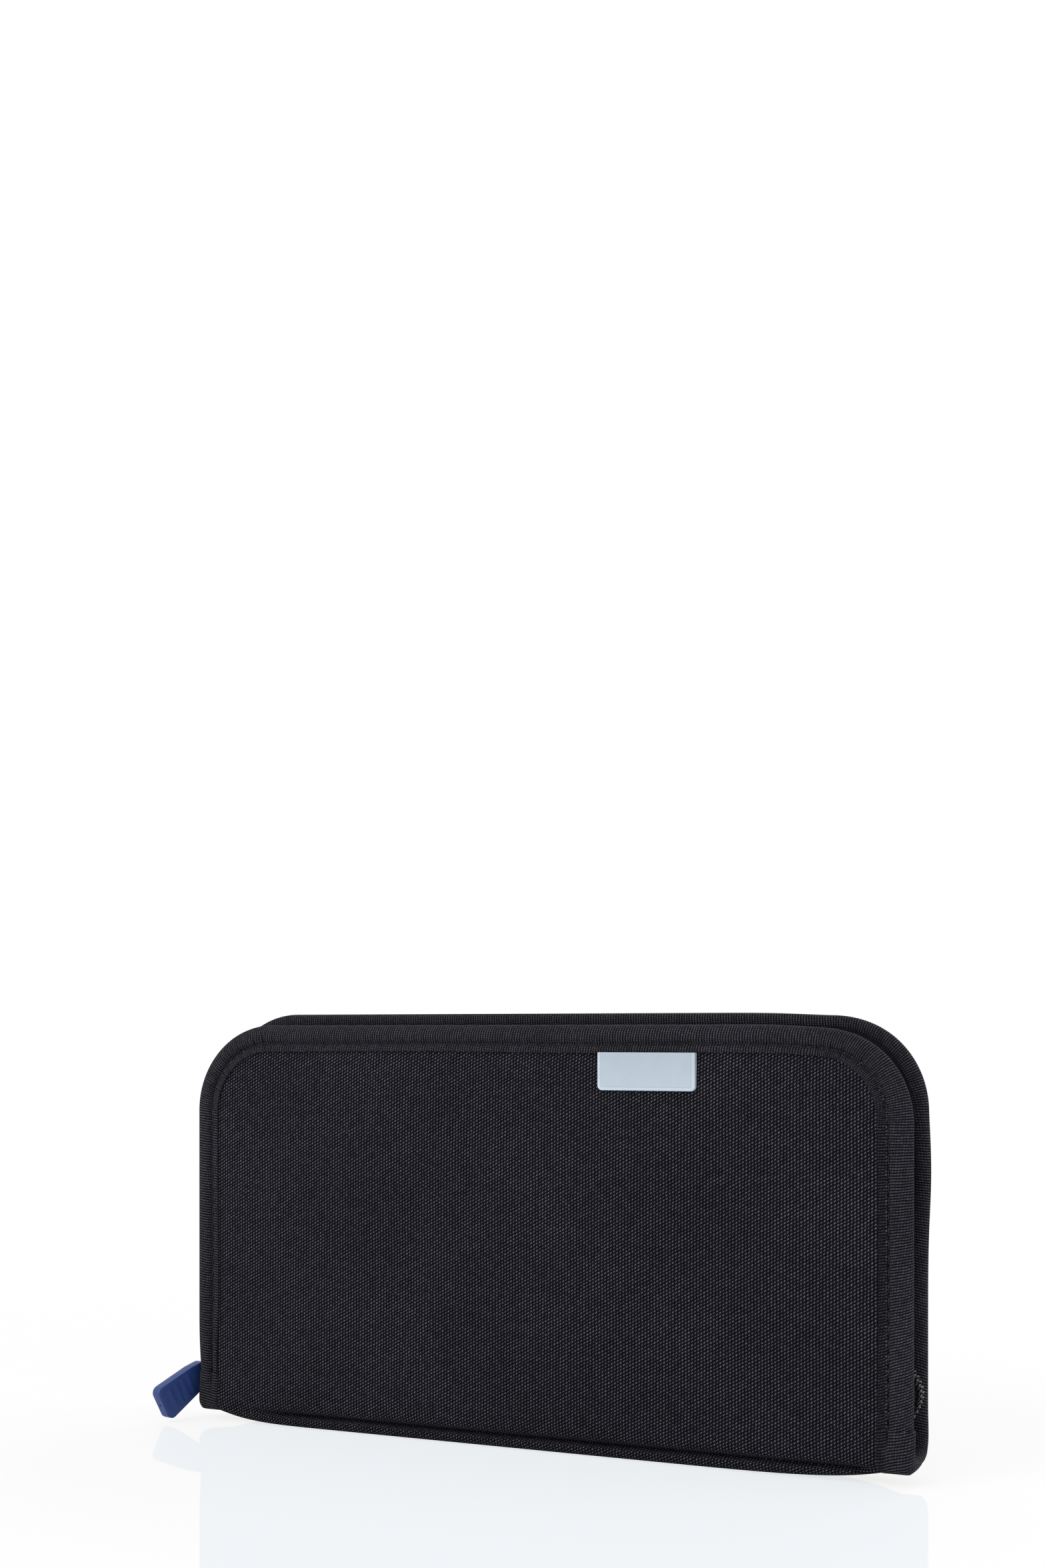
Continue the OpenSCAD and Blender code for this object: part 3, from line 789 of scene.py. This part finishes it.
def thread_model(name, reach, thick):
    """One stitch: a short thread along X, thinner where it dips in at both ends."""
    deselect()
    bpy.ops.mesh.primitive_uv_sphere_add(segments=6, ring_count=7, radius=1,
                                         rotation=(0, np.pi / 2, 0))
    model = named(name)
    settle(model)
    edited(model, (bpy.ops.transform.resize, {"value": (reach, thick / 2, thick / 2)}))
    for vertex in model.data.vertices:
        bend = (vertex.co.x / reach) ** 2
        vertex.co.z -= 0.3 * thick * bend
    return model


def copies(name, model, origins, axes):
    """One piece made of copies of a model: each has an origin and three axes in space."""
    mesh = model.data
    corners = np.array([vertex.co for vertex in mesh.vertices])
    faces = [list(face.vertices) for face in mesh.polygons]
    points = origins[:, None, :] + np.einsum("vk,nkd->nvd", corners, axes)
    many = bpy.data.meshes.new(name)
    step = len(corners)
    many.from_pydata(points.reshape(-1, 3).tolist(), [],
                     [[i * step + v for v in face] for i in range(len(origins)) for face in faces])
    layer = many.uv_layers.new(name="UVMap")
    own = np.empty(len(mesh.loops) * 2)
    mesh.uv_layers[0].data.foreach_get("uv", own)
    layer.data.foreach_set("uv", np.tile(own, len(origins)).astype(np.float32))
    many.update()
    piece = bpy.data.objects.new(name, many)
    bpy.context.scene.collection.objects.link(piece)
    shade(piece, 80)
    return piece


def stitch_row(name, points, run, outward, ribbon):
    """Stitches at the given points: run is each one's direction, outward the cloth's face."""
    reach = (ribbon.stitch - ribbon.stitch_gap) / 2
    model = thread_model(name + "_model", reach, ribbon.thread)
    across = np.cross(outward, run)
    piece = copies(name, model, points, np.stack([run, across, outward], axis=1))
    bpy.data.objects.remove(model)
    return piece


def ribbon_stitches(cover, ribbon):
    """The row of stitches that holds a cover's ribbon, in its valley."""
    outline = Outline(6 * MM)
    count = round(outline.length / ribbon.stitch)
    along = (np.arange(count) + 0.5) * outline.length / count
    x, y, out_x, out_y = outline.at(along, STITCH_IN * outline.spread(along))
    x, y = cover.worn(x, y)
    points = cover.place(x, y, np.full(count, 0.86 * MM))
    flat = np.zeros(count)
    run = np.stack([out_y, flat, -out_x], axis=-1)
    outward = np.tile([0.0, float(cover.face), 0.0], (count, 1))
    return stitch_row(cover.name + "_ribbon_stitches", points, run, outward, ribbon)


class WALLET_OT_edge_ribbon(bpy.types.Operator):
    """Models the grosgrain ribbon round both covers and the spine's ends, and its stitches"""

    bl_idname = "wallet.edge_ribbon"
    bl_label = "Edge ribbon"

    def execute(self, context):
        ribbon = context.scene.wallet_ribbon
        ribbed = grosgrain(ribbon)
        thread = moulded("polyester_sewing_thread", ribbon.thread_shade, 0.6, 0.2 * MM, 0.2,
                         Specular_IOR_Level=0.15)
        for cover in COVERS:
            piece = cover_ribbon(cover, ribbon)
            fit(piece, ribbed, cover.body, "edge_ribbon", cover.name + "_binding")
            fit(ribbon_stitches(cover, ribbon), thread, cover.body, "edge_ribbon")
            for side, word in ((-1, "left"), (1, "right")):
                end = spine_end_ribbon(cover, side, ribbon)
                paint(end, ribbed)
                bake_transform(end)
                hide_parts("spine_binding_" + word)
        return {"FINISHED"}


# ---- zip ----

class ZipLine:
    """The line of the closed zip, in the gap between the covers, on one cover's own side."""

    def __init__(self, cover, zipper):
        self.cover = cover
        self.zipper = zipper
        self.outline = Outline(CHAIN_BASE)

    def at(self, along, inset, depth):
        """Points and outward directions of the tape or coil, leaning towards the other half."""
        x, y, out_x, out_y = self.outline.at(along, inset)
        lean = smoothstep(depth, INNER_V, 7 * MM)
        # both halves share one line in space, so the height is given without the cover's lift
        z = y + LEAN + (1 - lean) * (self.cover.lift - LEAN)
        bow = self.zipper.bow * lean * (x > 0) * np.cos(
            np.pi / 2 * np.clip((z - self.zipper.bow_z) / self.zipper.bow_reach, -1, 1)) ** 2
        # beside the slider's mouth the two halves part
        part = 0.55 * MM * (x < 0) * (1 - smoothstep(z, 14 * MM, 20 * MM))
        face = self.cover.face * (FACE_Y - depth + part)
        points = np.stack([x + bow * out_x, face, z + bow * out_y], axis=-1)
        outward = np.stack([out_x, np.zeros_like(x), out_y], axis=-1)
        return points, outward


def zip_tape(cover, zipper):
    """Woven tape: sewn flat inside the ribbon, then standing up to carry the coil."""
    line = ZipLine(cover, zipper)
    out = CHAIN_OUT
    section = np.array([
        (3.4 * MM, 4.2 * MM), (out - 0.1 * MM, 4.25 * MM), (out + 1.3 * MM, 4.6 * MM),
        (out + 1.6 * MM, 5.6 * MM), (out + 1.6 * MM, 9.6 * MM)])

    def place(s, t):
        along = s * line.outline.length
        profile, width = smooth_line(section, t)
        points, _ = line.at(along, profile[:, 0], profile[:, 1])
        return points, np.stack([along, t * width], axis=-1)

    return mapped_grid(cover.name + "_zip_tape_cloth", 300, 12, place, (0, 0, 1), 0.35 * MM)


def coil_model(zipper):
    """One turn of the coil: over to the locking head, back below, and round to the next turn."""
    thick = zipper.filament / 2
    path = np.array([(-0.2, -0.2, 0.55), (-0.2, 0.6, 0.62), (-0.12, 1.7, 0.55), (0.0, 2.15, 0.05),
                     (0.12, 1.7, -0.45), (0.2, 0.6, -0.5), (0.3, 0.0, -0.45), (0.65, -0.2, -0.3),
                     (0.95, -0.2, 0.15), (zipper.pitch / MM - 0.2, -0.1, 0.5)]) * MM

    def place(s, t):
        spot, run = smooth_line(path, s)
        line = heading(path, s, 0.02)
        side = unit(np.cross(line, [0.0, 0.0, 1.0]) + np.array([1e-6, 0, 0]))
        up = np.cross(side, line)
        head = 1 + 0.35 * hump(s, 0.5, 0.14)
        angle = 2 * np.pi * t
        ring = side * np.cos(angle)[:, None] * head[:, None] + up * np.sin(angle)[:, None]
        return spot + thick * ring, np.stack([s * run, t * 2 * np.pi * thick], axis=-1)

    model = mapped_grid("coil_turn_model", 15, 5, place, (0, 0, 1))
    edited(model, (bpy.ops.mesh.remove_doubles, {"threshold": 0.01 * MM}),
           (bpy.ops.mesh.normals_make_consistent, {"inside": False}))
    return model


def coil(cover, zipper, model):
    """Half of the zip: turns of filament along the tape's edge, half a pitch from the other's."""
    line = ZipLine(cover, zipper)
    count = round(line.outline.length / zipper.pitch)
    pitch = line.outline.length / count
    along = (np.arange(count) + (0.25 if cover is FRONT else 0.75)) * pitch
    inset = np.full(count, CHAIN_OUT + 0.75 * MM)
    depth = np.full(count, FACE_Y - 1.95 * MM)
    foot, _ = line.at(along, inset, depth)
    ahead, _ = line.at(along + 0.5 * MM, inset, depth)
    run = unit(ahead - foot)
    across = np.tile([0.0, -float(cover.face), 0.0], (count, 1))
    outward = np.cross(run, across) * cover.face
    return copies(cover.name + "_coil", model, foot, np.stack([run, across, outward], axis=1))


class WALLET_OT_zip(bpy.types.Operator):
    """Models the zip's tapes and coils and plates its metal parts"""

    bl_idname = "wallet.zip"
    bl_label = "Zip"

    def execute(self, context):
        zipper = context.scene.wallet_zip
        tape = plain_weave("woven_zip_tape", zipper.tape_ground, zipper.tape_shade, 0.5 * MM)
        nylon = moulded("nylon_coil_filament", zipper.coil_shade, 0.16, 0.3 * MM, 0.15,
                        Specular_IOR_Level=0.3)
        metal = plated_metal(zipper)
        model = coil_model(zipper)
        for cover in COVERS:
            cloth = zip_tape(cover, zipper)
            fit(cloth, tape, cover.body, "zip_tape", cover.name + "_zip_tape")
            fit(coil(cover, zipper, model), nylon, cover.body, "zip_coil",
                cover.name + "_zip_coil")
            paint(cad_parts[cover.name + "_zip_stops"], metal)
        bpy.data.objects.remove(model)
        for node in ("zip_slider", "pull_ring"):
            paint(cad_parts[node], metal)
            shade(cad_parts[node], 35)
        return {"FINISHED"}


def plated_metal(zipper):
    """Black-nickel plated zinc: die-cast, barrel-polished, with fine wear in the plating."""
    made, tree = material("black_nickel_plated_zinc")
    grain = noise(tree, object_place(tree), 1 / (0.5 * MM), 4.0)
    surface(tree, grain, 0.01 * MM, Base_Color=opaque(zipper.metal_shade), Metallic=1.0,
            Roughness=remap(tree, grain, (0.3, 0.7), (0.22, 0.42)))
    return made


# ---- inside ----

def lining(cover):
    """Lining over a cover's board, drawn in a little beside the ribbon."""
    def place(s, t):
        x, y, reach = rounded_panel(s, t, LINING_IN, LINING_FOOT, 0.25, 1.0)
        sides = np.minimum(reach - np.abs(x), COVER_TOP - LINING_IN - y)
        full = 1 - np.exp(-np.maximum(sides - 1.5 * MM, 0) / (4 * MM))
        u, w = x / MM, y / MM
        ripple = 0.05 * MM * (np.sin(u / 12 + w / 23) + np.sin(w / 9 - u / 31 + 1))
        v = INNER_V - 0.25 * MM + full * (0.1 * MM + ripple)
        return cover.place(x, y, v), np.stack([x, y], axis=-1)

    inner = (0, -cover.face, 0)
    return mapped_grid(cover.name + "_lining_cloth", 90, 70, place, inner, 0.35 * MM)


def stiffening_board(cover):
    """Fibre board inside a cover, round at all corners so that it clears the folded ribbon."""
    low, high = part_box(cover.name + "_board")
    low.z += 2.6 * MM
    piece = block(cover.name + "_stiffening_board", low, high)
    round_corners(piece, 1, CORNER - 3 * MM, lambda middle: middle.z > 60 * MM, 14)
    round_corners(piece, 1, 7 * MM, lambda middle: middle.z < 60 * MM and abs(middle.x) > 0.1, 6)
    shade(piece, 50)
    return piece


def spine_padding():
    """Foam strip in the spine between its cloth and its lining, stopping short of the ends."""
    _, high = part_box("spine_foam")
    reach = high.x - 30 * MM

    def place(s, t):
        x = (2 * s - 1) * reach
        turn = 2 * np.pi * t
        y = (high.y - 0.7 * MM) * np.sign(np.cos(turn)) * np.abs(np.cos(turn)) ** 0.5
        top = high.z - 0.5 * MM - (high.y - y) * REAR_LIFT / (2 * high.y)
        under = FRONT.fold_section(x, np.ones_like(x), 0.0)
        bottom = np.minimum(under[:, 2] + 1.3 * MM, top - 0.5 * MM)
        level = np.sign(np.sin(turn)) * np.abs(np.sin(turn)) ** 0.5
        # both ends are pinched shut
        level = level * np.minimum(1, np.minimum(s, 1 - s) * 60)
        z = (top + bottom) / 2 + level * (top - bottom) / 2
        return np.stack([x, y, z], axis=-1), np.stack([x, 12 * MM * t], axis=-1)

    return mapped_grid("spine_foam_strip", 60, 32, place, (0, 0, -1))


def spine_lining():
    """Lining across the spine, sagging a little between the two folds."""
    low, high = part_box("spine_lining")
    reach = high.x

    def place(s, t):
        x = (2 * s - 1) * reach
        y = low.y + t * (high.y - low.y)
        z = high.z - REAR_LIFT * (1 - t) - 0.25 * MM * np.sin(np.pi * t)
        z = z - 0.08 * MM * (1 + np.sin(x / MM / 6 + 3 * t))
        return np.stack([x, y, z], axis=-1), np.stack([x, y], axis=-1)

    return mapped_grid("spine_lining_cloth", 120, 8, place, (0, 0, 1), 0.5 * MM)


def pocket(cover, node, puff, settings):
    """A pocket's sheet with a folded hem at its mouth, sewn down along the other three sides."""
    low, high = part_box(node)
    foot, mouth = low.z - cover.lift, high.z - cover.lift
    if cover is FRONT:
        back, front = low.y + FACE_Y, high.y + FACE_Y
    else:
        back, front = FACE_Y - high.y, FACE_Y - low.y
    hem = settings.hem
    fold = 1 - hem / (mouth - foot)

    def place(s, t):
        x = low.x + s * (high.x - low.x)
        y = foot + t * (mouth - foot)
        sides = np.minimum(np.minimum(s, 1 - s) * (high.x - low.x), t * (mouth - foot))
        lift = smoothstep(sides, 0.5 * MM, 5 * MM)
        belly = np.sin(np.pi * s) ** 0.6 * np.sin(np.pi * np.clip(t, 0, 1) * 0.5) ** 1.5
        mouth_dip = 0.25 * MM * hump(t, fold, 0.02)
        v = back + 0.1 * MM + lift * (front - back - 0.5 * MM) + puff * belly * lift - mouth_dip
        return cover.place(x, y, v), np.stack([x, y], axis=-1)

    columns = max(24, int((high.x - low.x) / (3 * MM)))
    return mapped_grid(node + "_cloth", columns, 44, place, (0, -cover.face, 0), 0.32 * MM)


def pocket_stitches(cover, node, ribbon):
    """Stitches down both sides and along the foot of a pocket."""
    low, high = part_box(node)
    inset = 1.1 * MM                        # stitch line, in from the pocket's edge
    left, right, foot, top = low.x + inset, high.x - inset, low.z + inset, high.z - inset
    ends = [(left, top), (left, foot), (right, foot), (right, top)]
    points, runs = [], []
    face = low.y + 0.15 * MM if cover is FRONT else high.y - 0.15 * MM
    step = 3 * MM                           # from stitch to stitch
    for (x1, z1), (x2, z2) in zip(ends, ends[1:]):
        span = np.hypot(x2 - x1, z2 - z1)
        count = int(span / step)
        share = (np.arange(count) + 0.5) / count
        points.append(np.stack([x1 + (x2 - x1) * share, np.full(count, face),
                                z1 + (z2 - z1) * share], axis=-1))
        runs.append(np.tile([(x2 - x1) / span, 0, (z2 - z1) / span], (count, 1)))
    points, runs = np.concatenate(points), np.concatenate(runs)
    inward = -float(cover.face)
    points[:, 1] += inward * 0.5 * MM
    outward = np.tile([0.0, inward, 0.0], (len(points), 1))
    return stitch_row(node + "_stitches", points, runs, outward, ribbon)


class WALLET_OT_inside(bpy.types.Operator):
    """Models the linings and the pockets with their hems and stitches"""

    bl_idname = "wallet.inside"
    bl_label = "Inside"

    def execute(self, context):
        inside = context.scene.wallet_inside
        ribbon = context.scene.wallet_ribbon
        plain = plain_weave("polyester_lining_cloth", inside.lining_ground, inside.lining_shade,
                            0.5 * MM)
        firm = plain_weave("nylon_pocket_cloth", inside.pocket_ground, inside.pocket_shade,
                           0.6 * MM)
        thread = moulded("pocket_sewing_thread", ribbon.thread_shade, 0.5, 0.2 * MM, 0.2)
        core = moulded("pressed_fibre_board", inside.core_shade, 0.8, 0.6 * MM, 0.1)
        foam = moulded("closed_cell_foam", inside.foam_shade, 0.9, 0.3 * MM, 0.05)
        for cover in COVERS:
            sheet = lining(cover)
            fit(sheet, plain, cover.body, "lining", cover.name + "_lining")
            fit(stiffening_board(cover), core, cover.body, "board", cover.name + "_board")
        middle = spine_lining()
        fit(middle, plain, "spine", "lining", "spine_lining")
        strip = spine_padding()
        fit(strip, foam, "spine", "foam", "spine_foam")
        for cover, node, puff in POCKETS:
            sheet = pocket(cover, node, puff * inside.puff, inside)
            fit(sheet, firm, cover.body, "pocket_cloth", node)
            fit(pocket_stitches(cover, node, ribbon), thread, cover.body, "pocket_cloth")
        return {"FINISHED"}


CARD_POCKETS = [f"card_pocket_{side}_{tier}" for side in ("left", "right") for tier in (1, 2, 3)]
POCKETS = [(FRONT, "ticket_pocket", 0.4), (REAR, "rear_slip_pocket", 0.4),
           (REAR, "passport_pocket", 1.0)] + [(FRONT, node, 0.3) for node in CARD_POCKETS]


# ---- badge and pull ----

def bevelled(piece, width, angle):
    """Rounds every edge sharper than the given angle."""
    modify(piece, "BEVEL", width=width, segments=3, limit_method="ANGLE",
           angle_limit=np.radians(angle), harden_normals=False)


def block(name, low, high):
    """A box between two corners."""
    deselect()
    low, high = Vector(low), Vector(high)
    bpy.ops.mesh.primitive_cube_add(size=1, location=(low + high) / 2, scale=high - low)
    piece = named(name)
    settle(piece)
    return piece


def bevel_edges(piece, width, segments, keep):
    """Bevels the edges that keep picks by their two ends."""
    choose(piece)
    bpy.ops.object.mode_set(mode="EDIT")
    bpy.ops.mesh.select_mode(type="EDGE")
    bpy.ops.mesh.select_all(action="DESELECT")
    bpy.ops.object.mode_set(mode="OBJECT")
    mesh = piece.data
    for edge in mesh.edges:
        edge.select = keep(*(mesh.vertices[i].co for i in edge.vertices))
    bpy.ops.object.mode_set(mode="EDIT")
    bpy.ops.mesh.bevel(offset=width, segments=segments, profile=0.5, affect="EDGES")
    bpy.ops.object.mode_set(mode="OBJECT")


def round_corners(piece, axis, radius, keep=lambda middle: True, segments=8):
    """Rounds the edges that run along one axis, where keep says so."""
    bevel_edges(piece, radius, segments, lambda a, b: (
        abs((b - a).normalized()[axis]) > 0.99 and keep((a + b) / 2)))


def badge_tab():
    """Milky rubber tab: lower corners round, front edges softly bevelled, top under the ribbon."""
    low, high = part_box("badge")
    slope = 1.2 * MM
    top = COVER_TOP - NARROW * RIBBON_W + 0.1 * MM
    piece = block("rubber_badge", (low.x, low.y, low.z + 0.4 * MM),
                  (high.x, high.y + 0.4 * MM, top))
    round_corners(piece, 1, 1.4 * MM, lambda middle: middle.z < (low.z + top) / 2)
    bevel_edges(piece, slope, 1, lambda a, b: (
        max(a.y, b.y) < low.y + 0.01 * MM and min(a.z, b.z) < top - 0.01 * MM))
    # the bevel lies flatter than 45 degrees
    for vertex in piece.data.vertices:
        depth = vertex.co.y - low.y
        if depth < 1.01 * slope:
            vertex.co.y = low.y + 0.4 * depth
    bevelled(piece, 0.18 * MM, 30)
    shade(piece, 15)
    return piece


def milky_rubber(shade):
    """Milky TPU rubber: cloudy, with a painted highlight on its sloping rim, lighter at its foot.
    """
    made, tree = material("milky_tpu_rubber")
    where = object_place(tree)
    low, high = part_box("badge")
    parts = add(tree, "SeparateXYZ", None, {0: where})
    # painted highlight: the thin sloping rim is brightened where the light catches it
    painted_rim_highlight = remap(tree, parts.outputs["Y"], (low.y + 0.03 * MM, low.y + 0.2 * MM), (1, 1.3))
    lower = remap(tree, parts.outputs["Z"], (low.z, high.z), (1.08, 0.94))
    cloud = patchy(tree, where, 1 / (6 * MM), 0.97, 1.03)
    tone = scaled(tree, shade, product(tree, painted_rim_highlight, lower, cloud))
    grain = noise(tree, where, 1 / (0.5 * MM), 2.0)
    surface(tree, grain, 0.01 * MM, Base_Color=tone, Roughness=0.38)
    return made


def rubber_pull(settings):
    """Moulded pull on the ring: a rounded slab with a hole, a dished face and grip ribs."""
    ring_low, ring_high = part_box("pull_ring")
    wire = ring_high.z - ring_low.z
    ring_radius = (ring_high.x - ring_low.x - wire) / 2
    centre = (ring_low + ring_high) / 2
    hole = wire / 2 + 0.8 * MM
    wall = 1.8 * MM                         # rubber left round the hole and beside the dishes
    margin = 1.7 * MM
    rib_half, rib_margin = 0.55 * MM, 2.4 * MM
    near = hole + wall
    far = settings.pull_length - near
    half, thick = settings.pull_width / 2, settings.pull_thick / 2
    waist = far * 0.2
    piece = block("rubber_pull", (-near, -half, -thick), (far, half, thick))
    edited(piece, (bpy.ops.mesh.bisect, {"plane_co": (waist, 0, 0), "plane_no": (1, 0, 0)}))
    for vertex in piece.data.vertices:
        wide = np.interp(vertex.co.x, [-near, waist, far], [near, settings.pull_waist / 2, half])
        vertex.co.y = wide * np.sign(vertex.co.y)
    round_corners(piece, 2, near * 0.9, lambda middle: middle.x < 0, 10)
    round_corners(piece, 2, 2.5 * MM, lambda middle: middle.x > far - 1 * MM, 8)
    for face in (-1, 1):
        dish = block("dish", (near, -half + margin, face * (thick - 0.35 * MM)),
                     (far - wall, half - margin, face * (thick + 1 * MM)))
        round_corners(dish, 2, 1.2 * MM, segments=5)
        carve(piece, dish, "DIFFERENCE")
    deselect()
    bpy.ops.mesh.primitive_cylinder_add(vertices=40, radius=hole, depth=6 * thick)
    carve(piece, named("hole"), "DIFFERENCE")
    ribs = settings.ribs
    span = far - wall - near
    for face in (-1, 1):
        for i in range(ribs):
            x = near + (i + 1) * span / (ribs + 1)
            rib = block("rib", (x - rib_half, -half + rib_margin, face * (thick - 0.8 * MM)),
                        (x + rib_half, half - rib_margin, face * (thick + 0.05 * MM)))
            round_corners(rib, 2, 0.5 * MM, segments=4)
            carve(piece, rib, "UNION")
    deselect()
    bpy.ops.mesh.primitive_uv_sphere_add(segments=24, ring_count=12, radius=0.9 * MM,
                                         location=(far + 0.55 * MM, 0, 0))
    carve(piece, named("dimple"), "DIFFERENCE")
    bevelled(piece, 0.45 * MM, 40)
    shade(piece, 40)
    # the slab stands on edge, slopes down from the ring and turns round it towards the front
    stand = (Matrix.Translation(centre) @ Matrix.Rotation(np.pi + settings.pull_turn, 4, "Z")
             @ Matrix.Translation((ring_radius, 0, 0))
             @ Matrix.Rotation(settings.pull_drop, 4, "Y") @ Matrix.Rotation(np.pi / 2, 4, "X"))
    piece.matrix_world = stand
    settle(piece)
    return piece


def carve(piece, tool, operation):
    """Joins a tool shape to a piece or cuts it away, and removes the tool."""
    modify(piece, "BOOLEAN", object=tool, operation=operation, solver="EXACT")
    bpy.data.objects.remove(tool)


class WALLET_OT_fittings(bpy.types.Operator):
    """Models the bare rubber badge and the rubber pull"""

    bl_idname = "wallet.fittings"
    bl_label = "Badge and pull"

    def execute(self, context):
        fittings = context.scene.wallet_fittings
        fit(badge_tab(), milky_rubber(fittings.badge_shade), "front_cover", "badge_rubber",
            "badge")
        rubber = moulded("moulded_silicone_rubber", fittings.pull_shade, 0.5, 0.4 * MM, 0.05,
                         IOR=1.45)
        fit(rubber_pull(fittings), rubber, "pull", "pull_rubber", "pull_tab")
        return {"FINISHED"}


# ---- stage ----

def lamp(name, place, aim, size, power):
    """A square soft box that looks from its place towards a point."""
    deselect()
    bpy.ops.object.light_add(type="AREA", location=place)
    light = bpy.context.object
    light.name = name
    light.data.shape = "SQUARE"
    light.data.size = size
    light.data.energy = power
    light.rotation_euler = (Vector(aim) - Vector(place)).to_track_quat("-Z", "Y").to_euler()


def looked_at(tree, *kinds):
    """1 on rays from the camera, straight or through a clear thing, and of the kinds named."""
    rays = add(tree, "LightPath").outputs
    seen = rays["Is Camera Ray"]
    for kind in ("Transmission", *kinds):
        seen = larger(tree, seen, rays[f"Is {kind} Ray"])
    return seen


def glossy_white():
    """Glossy white acrylic sheet: white to the eye, with a shadow and a faint mirror image."""
    made, tree = material("glossy_white_acrylic")
    away = add(tree, "VectorMath", {"operation": "LENGTH"}, {0: object_place(tree)})
    near = remap(tree, away.outputs["Value"], (0.2, 0.55), (0.18, 0), "SMOOTHSTEP")
    # the sheet mirrors less blue than red, and makes up with its own colour for what is missing
    tint = np.array((1.0055, 1.0333, 1.0667))
    glow = add(tree, "Emission", None, {"Color": opaque(tint), "Strength": 1.0})
    sheet = add(tree, "BsdfDiffuse", None, {"Color": opaque(0.9 * tint)})
    gloss = add(tree, "BsdfGlossy", None, {"Color": opaque((0.95, 0.7, 0.4)), "Roughness": 0.035})
    shaded = add(tree, "MixShader", None, {0: near, 1: glow, 2: sheet})
    seen = add(tree, "MixShader", None, {0: 0.1, 1: shaded, 2: gloss})
    out = add(tree, "MixShader", None, {0: looked_at(tree), 1: sheet, 2: seen})
    add(tree, "OutputMaterial", None, {"Surface": out})
    return made


def room(world, strength):
    """White behind the wallet and in its gloss, and a softer even light on everything else."""
    world.use_nodes = True
    tree = world.node_tree
    tree.nodes.clear()
    power = remap(tree, looked_at(tree, "Glossy"), (0, 1), (strength, 1))
    light = add(tree, "Background", None, {"Color": opaque((1, 1, 1)), "Strength": power})
    add(tree, "OutputWorld", None, {"Surface": light})


class WALLET_OT_stage(bpy.types.Operator):
    """Sets the floor, the lamps, the room's light and the camera"""

    bl_idname = "wallet.stage"
    bl_label = "Stage"

    def execute(self, context):
        stage = context.scene.wallet_stage
        deselect()
        bpy.ops.mesh.primitive_plane_add(size=8, location=(0, 0, -0.0002))
        floor = named("floor")
        settle(floor)
        paint(floor, glossy_white())
        lamp("key", (-0.45, -1.0, 0.9), (0, 0, 0.06), 0.8, stage.key)
        lamp("side", (1.0, 0.35, 0.5), (0, 0, 0.06), 0.6, stage.fill)
        lamp("back", (0.2, 0.9, 0.8), (0, 0, 0.1), 0.6, stage.fill)
        context.scene.world = bpy.data.worlds.new("room")
        room(context.scene.world, stage.sky)
        deselect()
        bpy.ops.object.camera_add(location=stage.place, rotation=(np.pi / 2, 0, stage.turn))
        camera = context.object
        camera.data.sensor_width = 36
        camera.data.lens = stage.lens
        camera.data.shift_y = stage.rise
        camera.data.clip_start = 0.01
        context.scene.camera = camera
        context.scene.view_settings.view_transform = "Standard"
        return {"FINISHED"}


# ---- panel and registration ----

STEPS = (WALLET_OT_stage, WALLET_OT_inside, WALLET_OT_outer_cloth, WALLET_OT_edge_ribbon,
         WALLET_OT_zip, WALLET_OT_fittings)


class WALLET_PT_panel(bpy.types.Panel):
    """Lists the wallet's steps and settings in the sidebar"""

    bl_idname = "WALLET_PT_panel"
    bl_label = "Passport holder"
    bl_space_type = "VIEW_3D"
    bl_region_type = "UI"
    bl_category = "Wallet"

    def draw(self, context):
        for step in STEPS:
            self.layout.operator(step.bl_idname)
        for name, group in SETTINGS.items():
            box = self.layout.box()
            box.label(text=group.__doc__)
            for key in group.__annotations__:
                box.prop(getattr(context.scene, name), key)


def register():
    """Adds the settings, steps and panel to Blender."""
    for name, group in SETTINGS.items():
        bpy.utils.register_class(group)
        setattr(bpy.types.Scene, name, PointerProperty(type=group))
    for cls in (*STEPS, WALLET_PT_panel):
        bpy.utils.register_class(cls)


def unregister():
    """Takes them out again."""
    for cls in (WALLET_PT_panel, *reversed(STEPS)):
        bpy.utils.unregister_class(cls)
    for name, group in SETTINGS.items():
        delattr(bpy.types.Scene, name)
        bpy.utils.unregister_class(group)


def main():
    """Makes every piece in order."""
    register()
    for step in STEPS:
        group, _, name = step.bl_idname.partition(".")
        getattr(getattr(bpy.ops, group), name)()


if __name__ == "__main__":
    main()
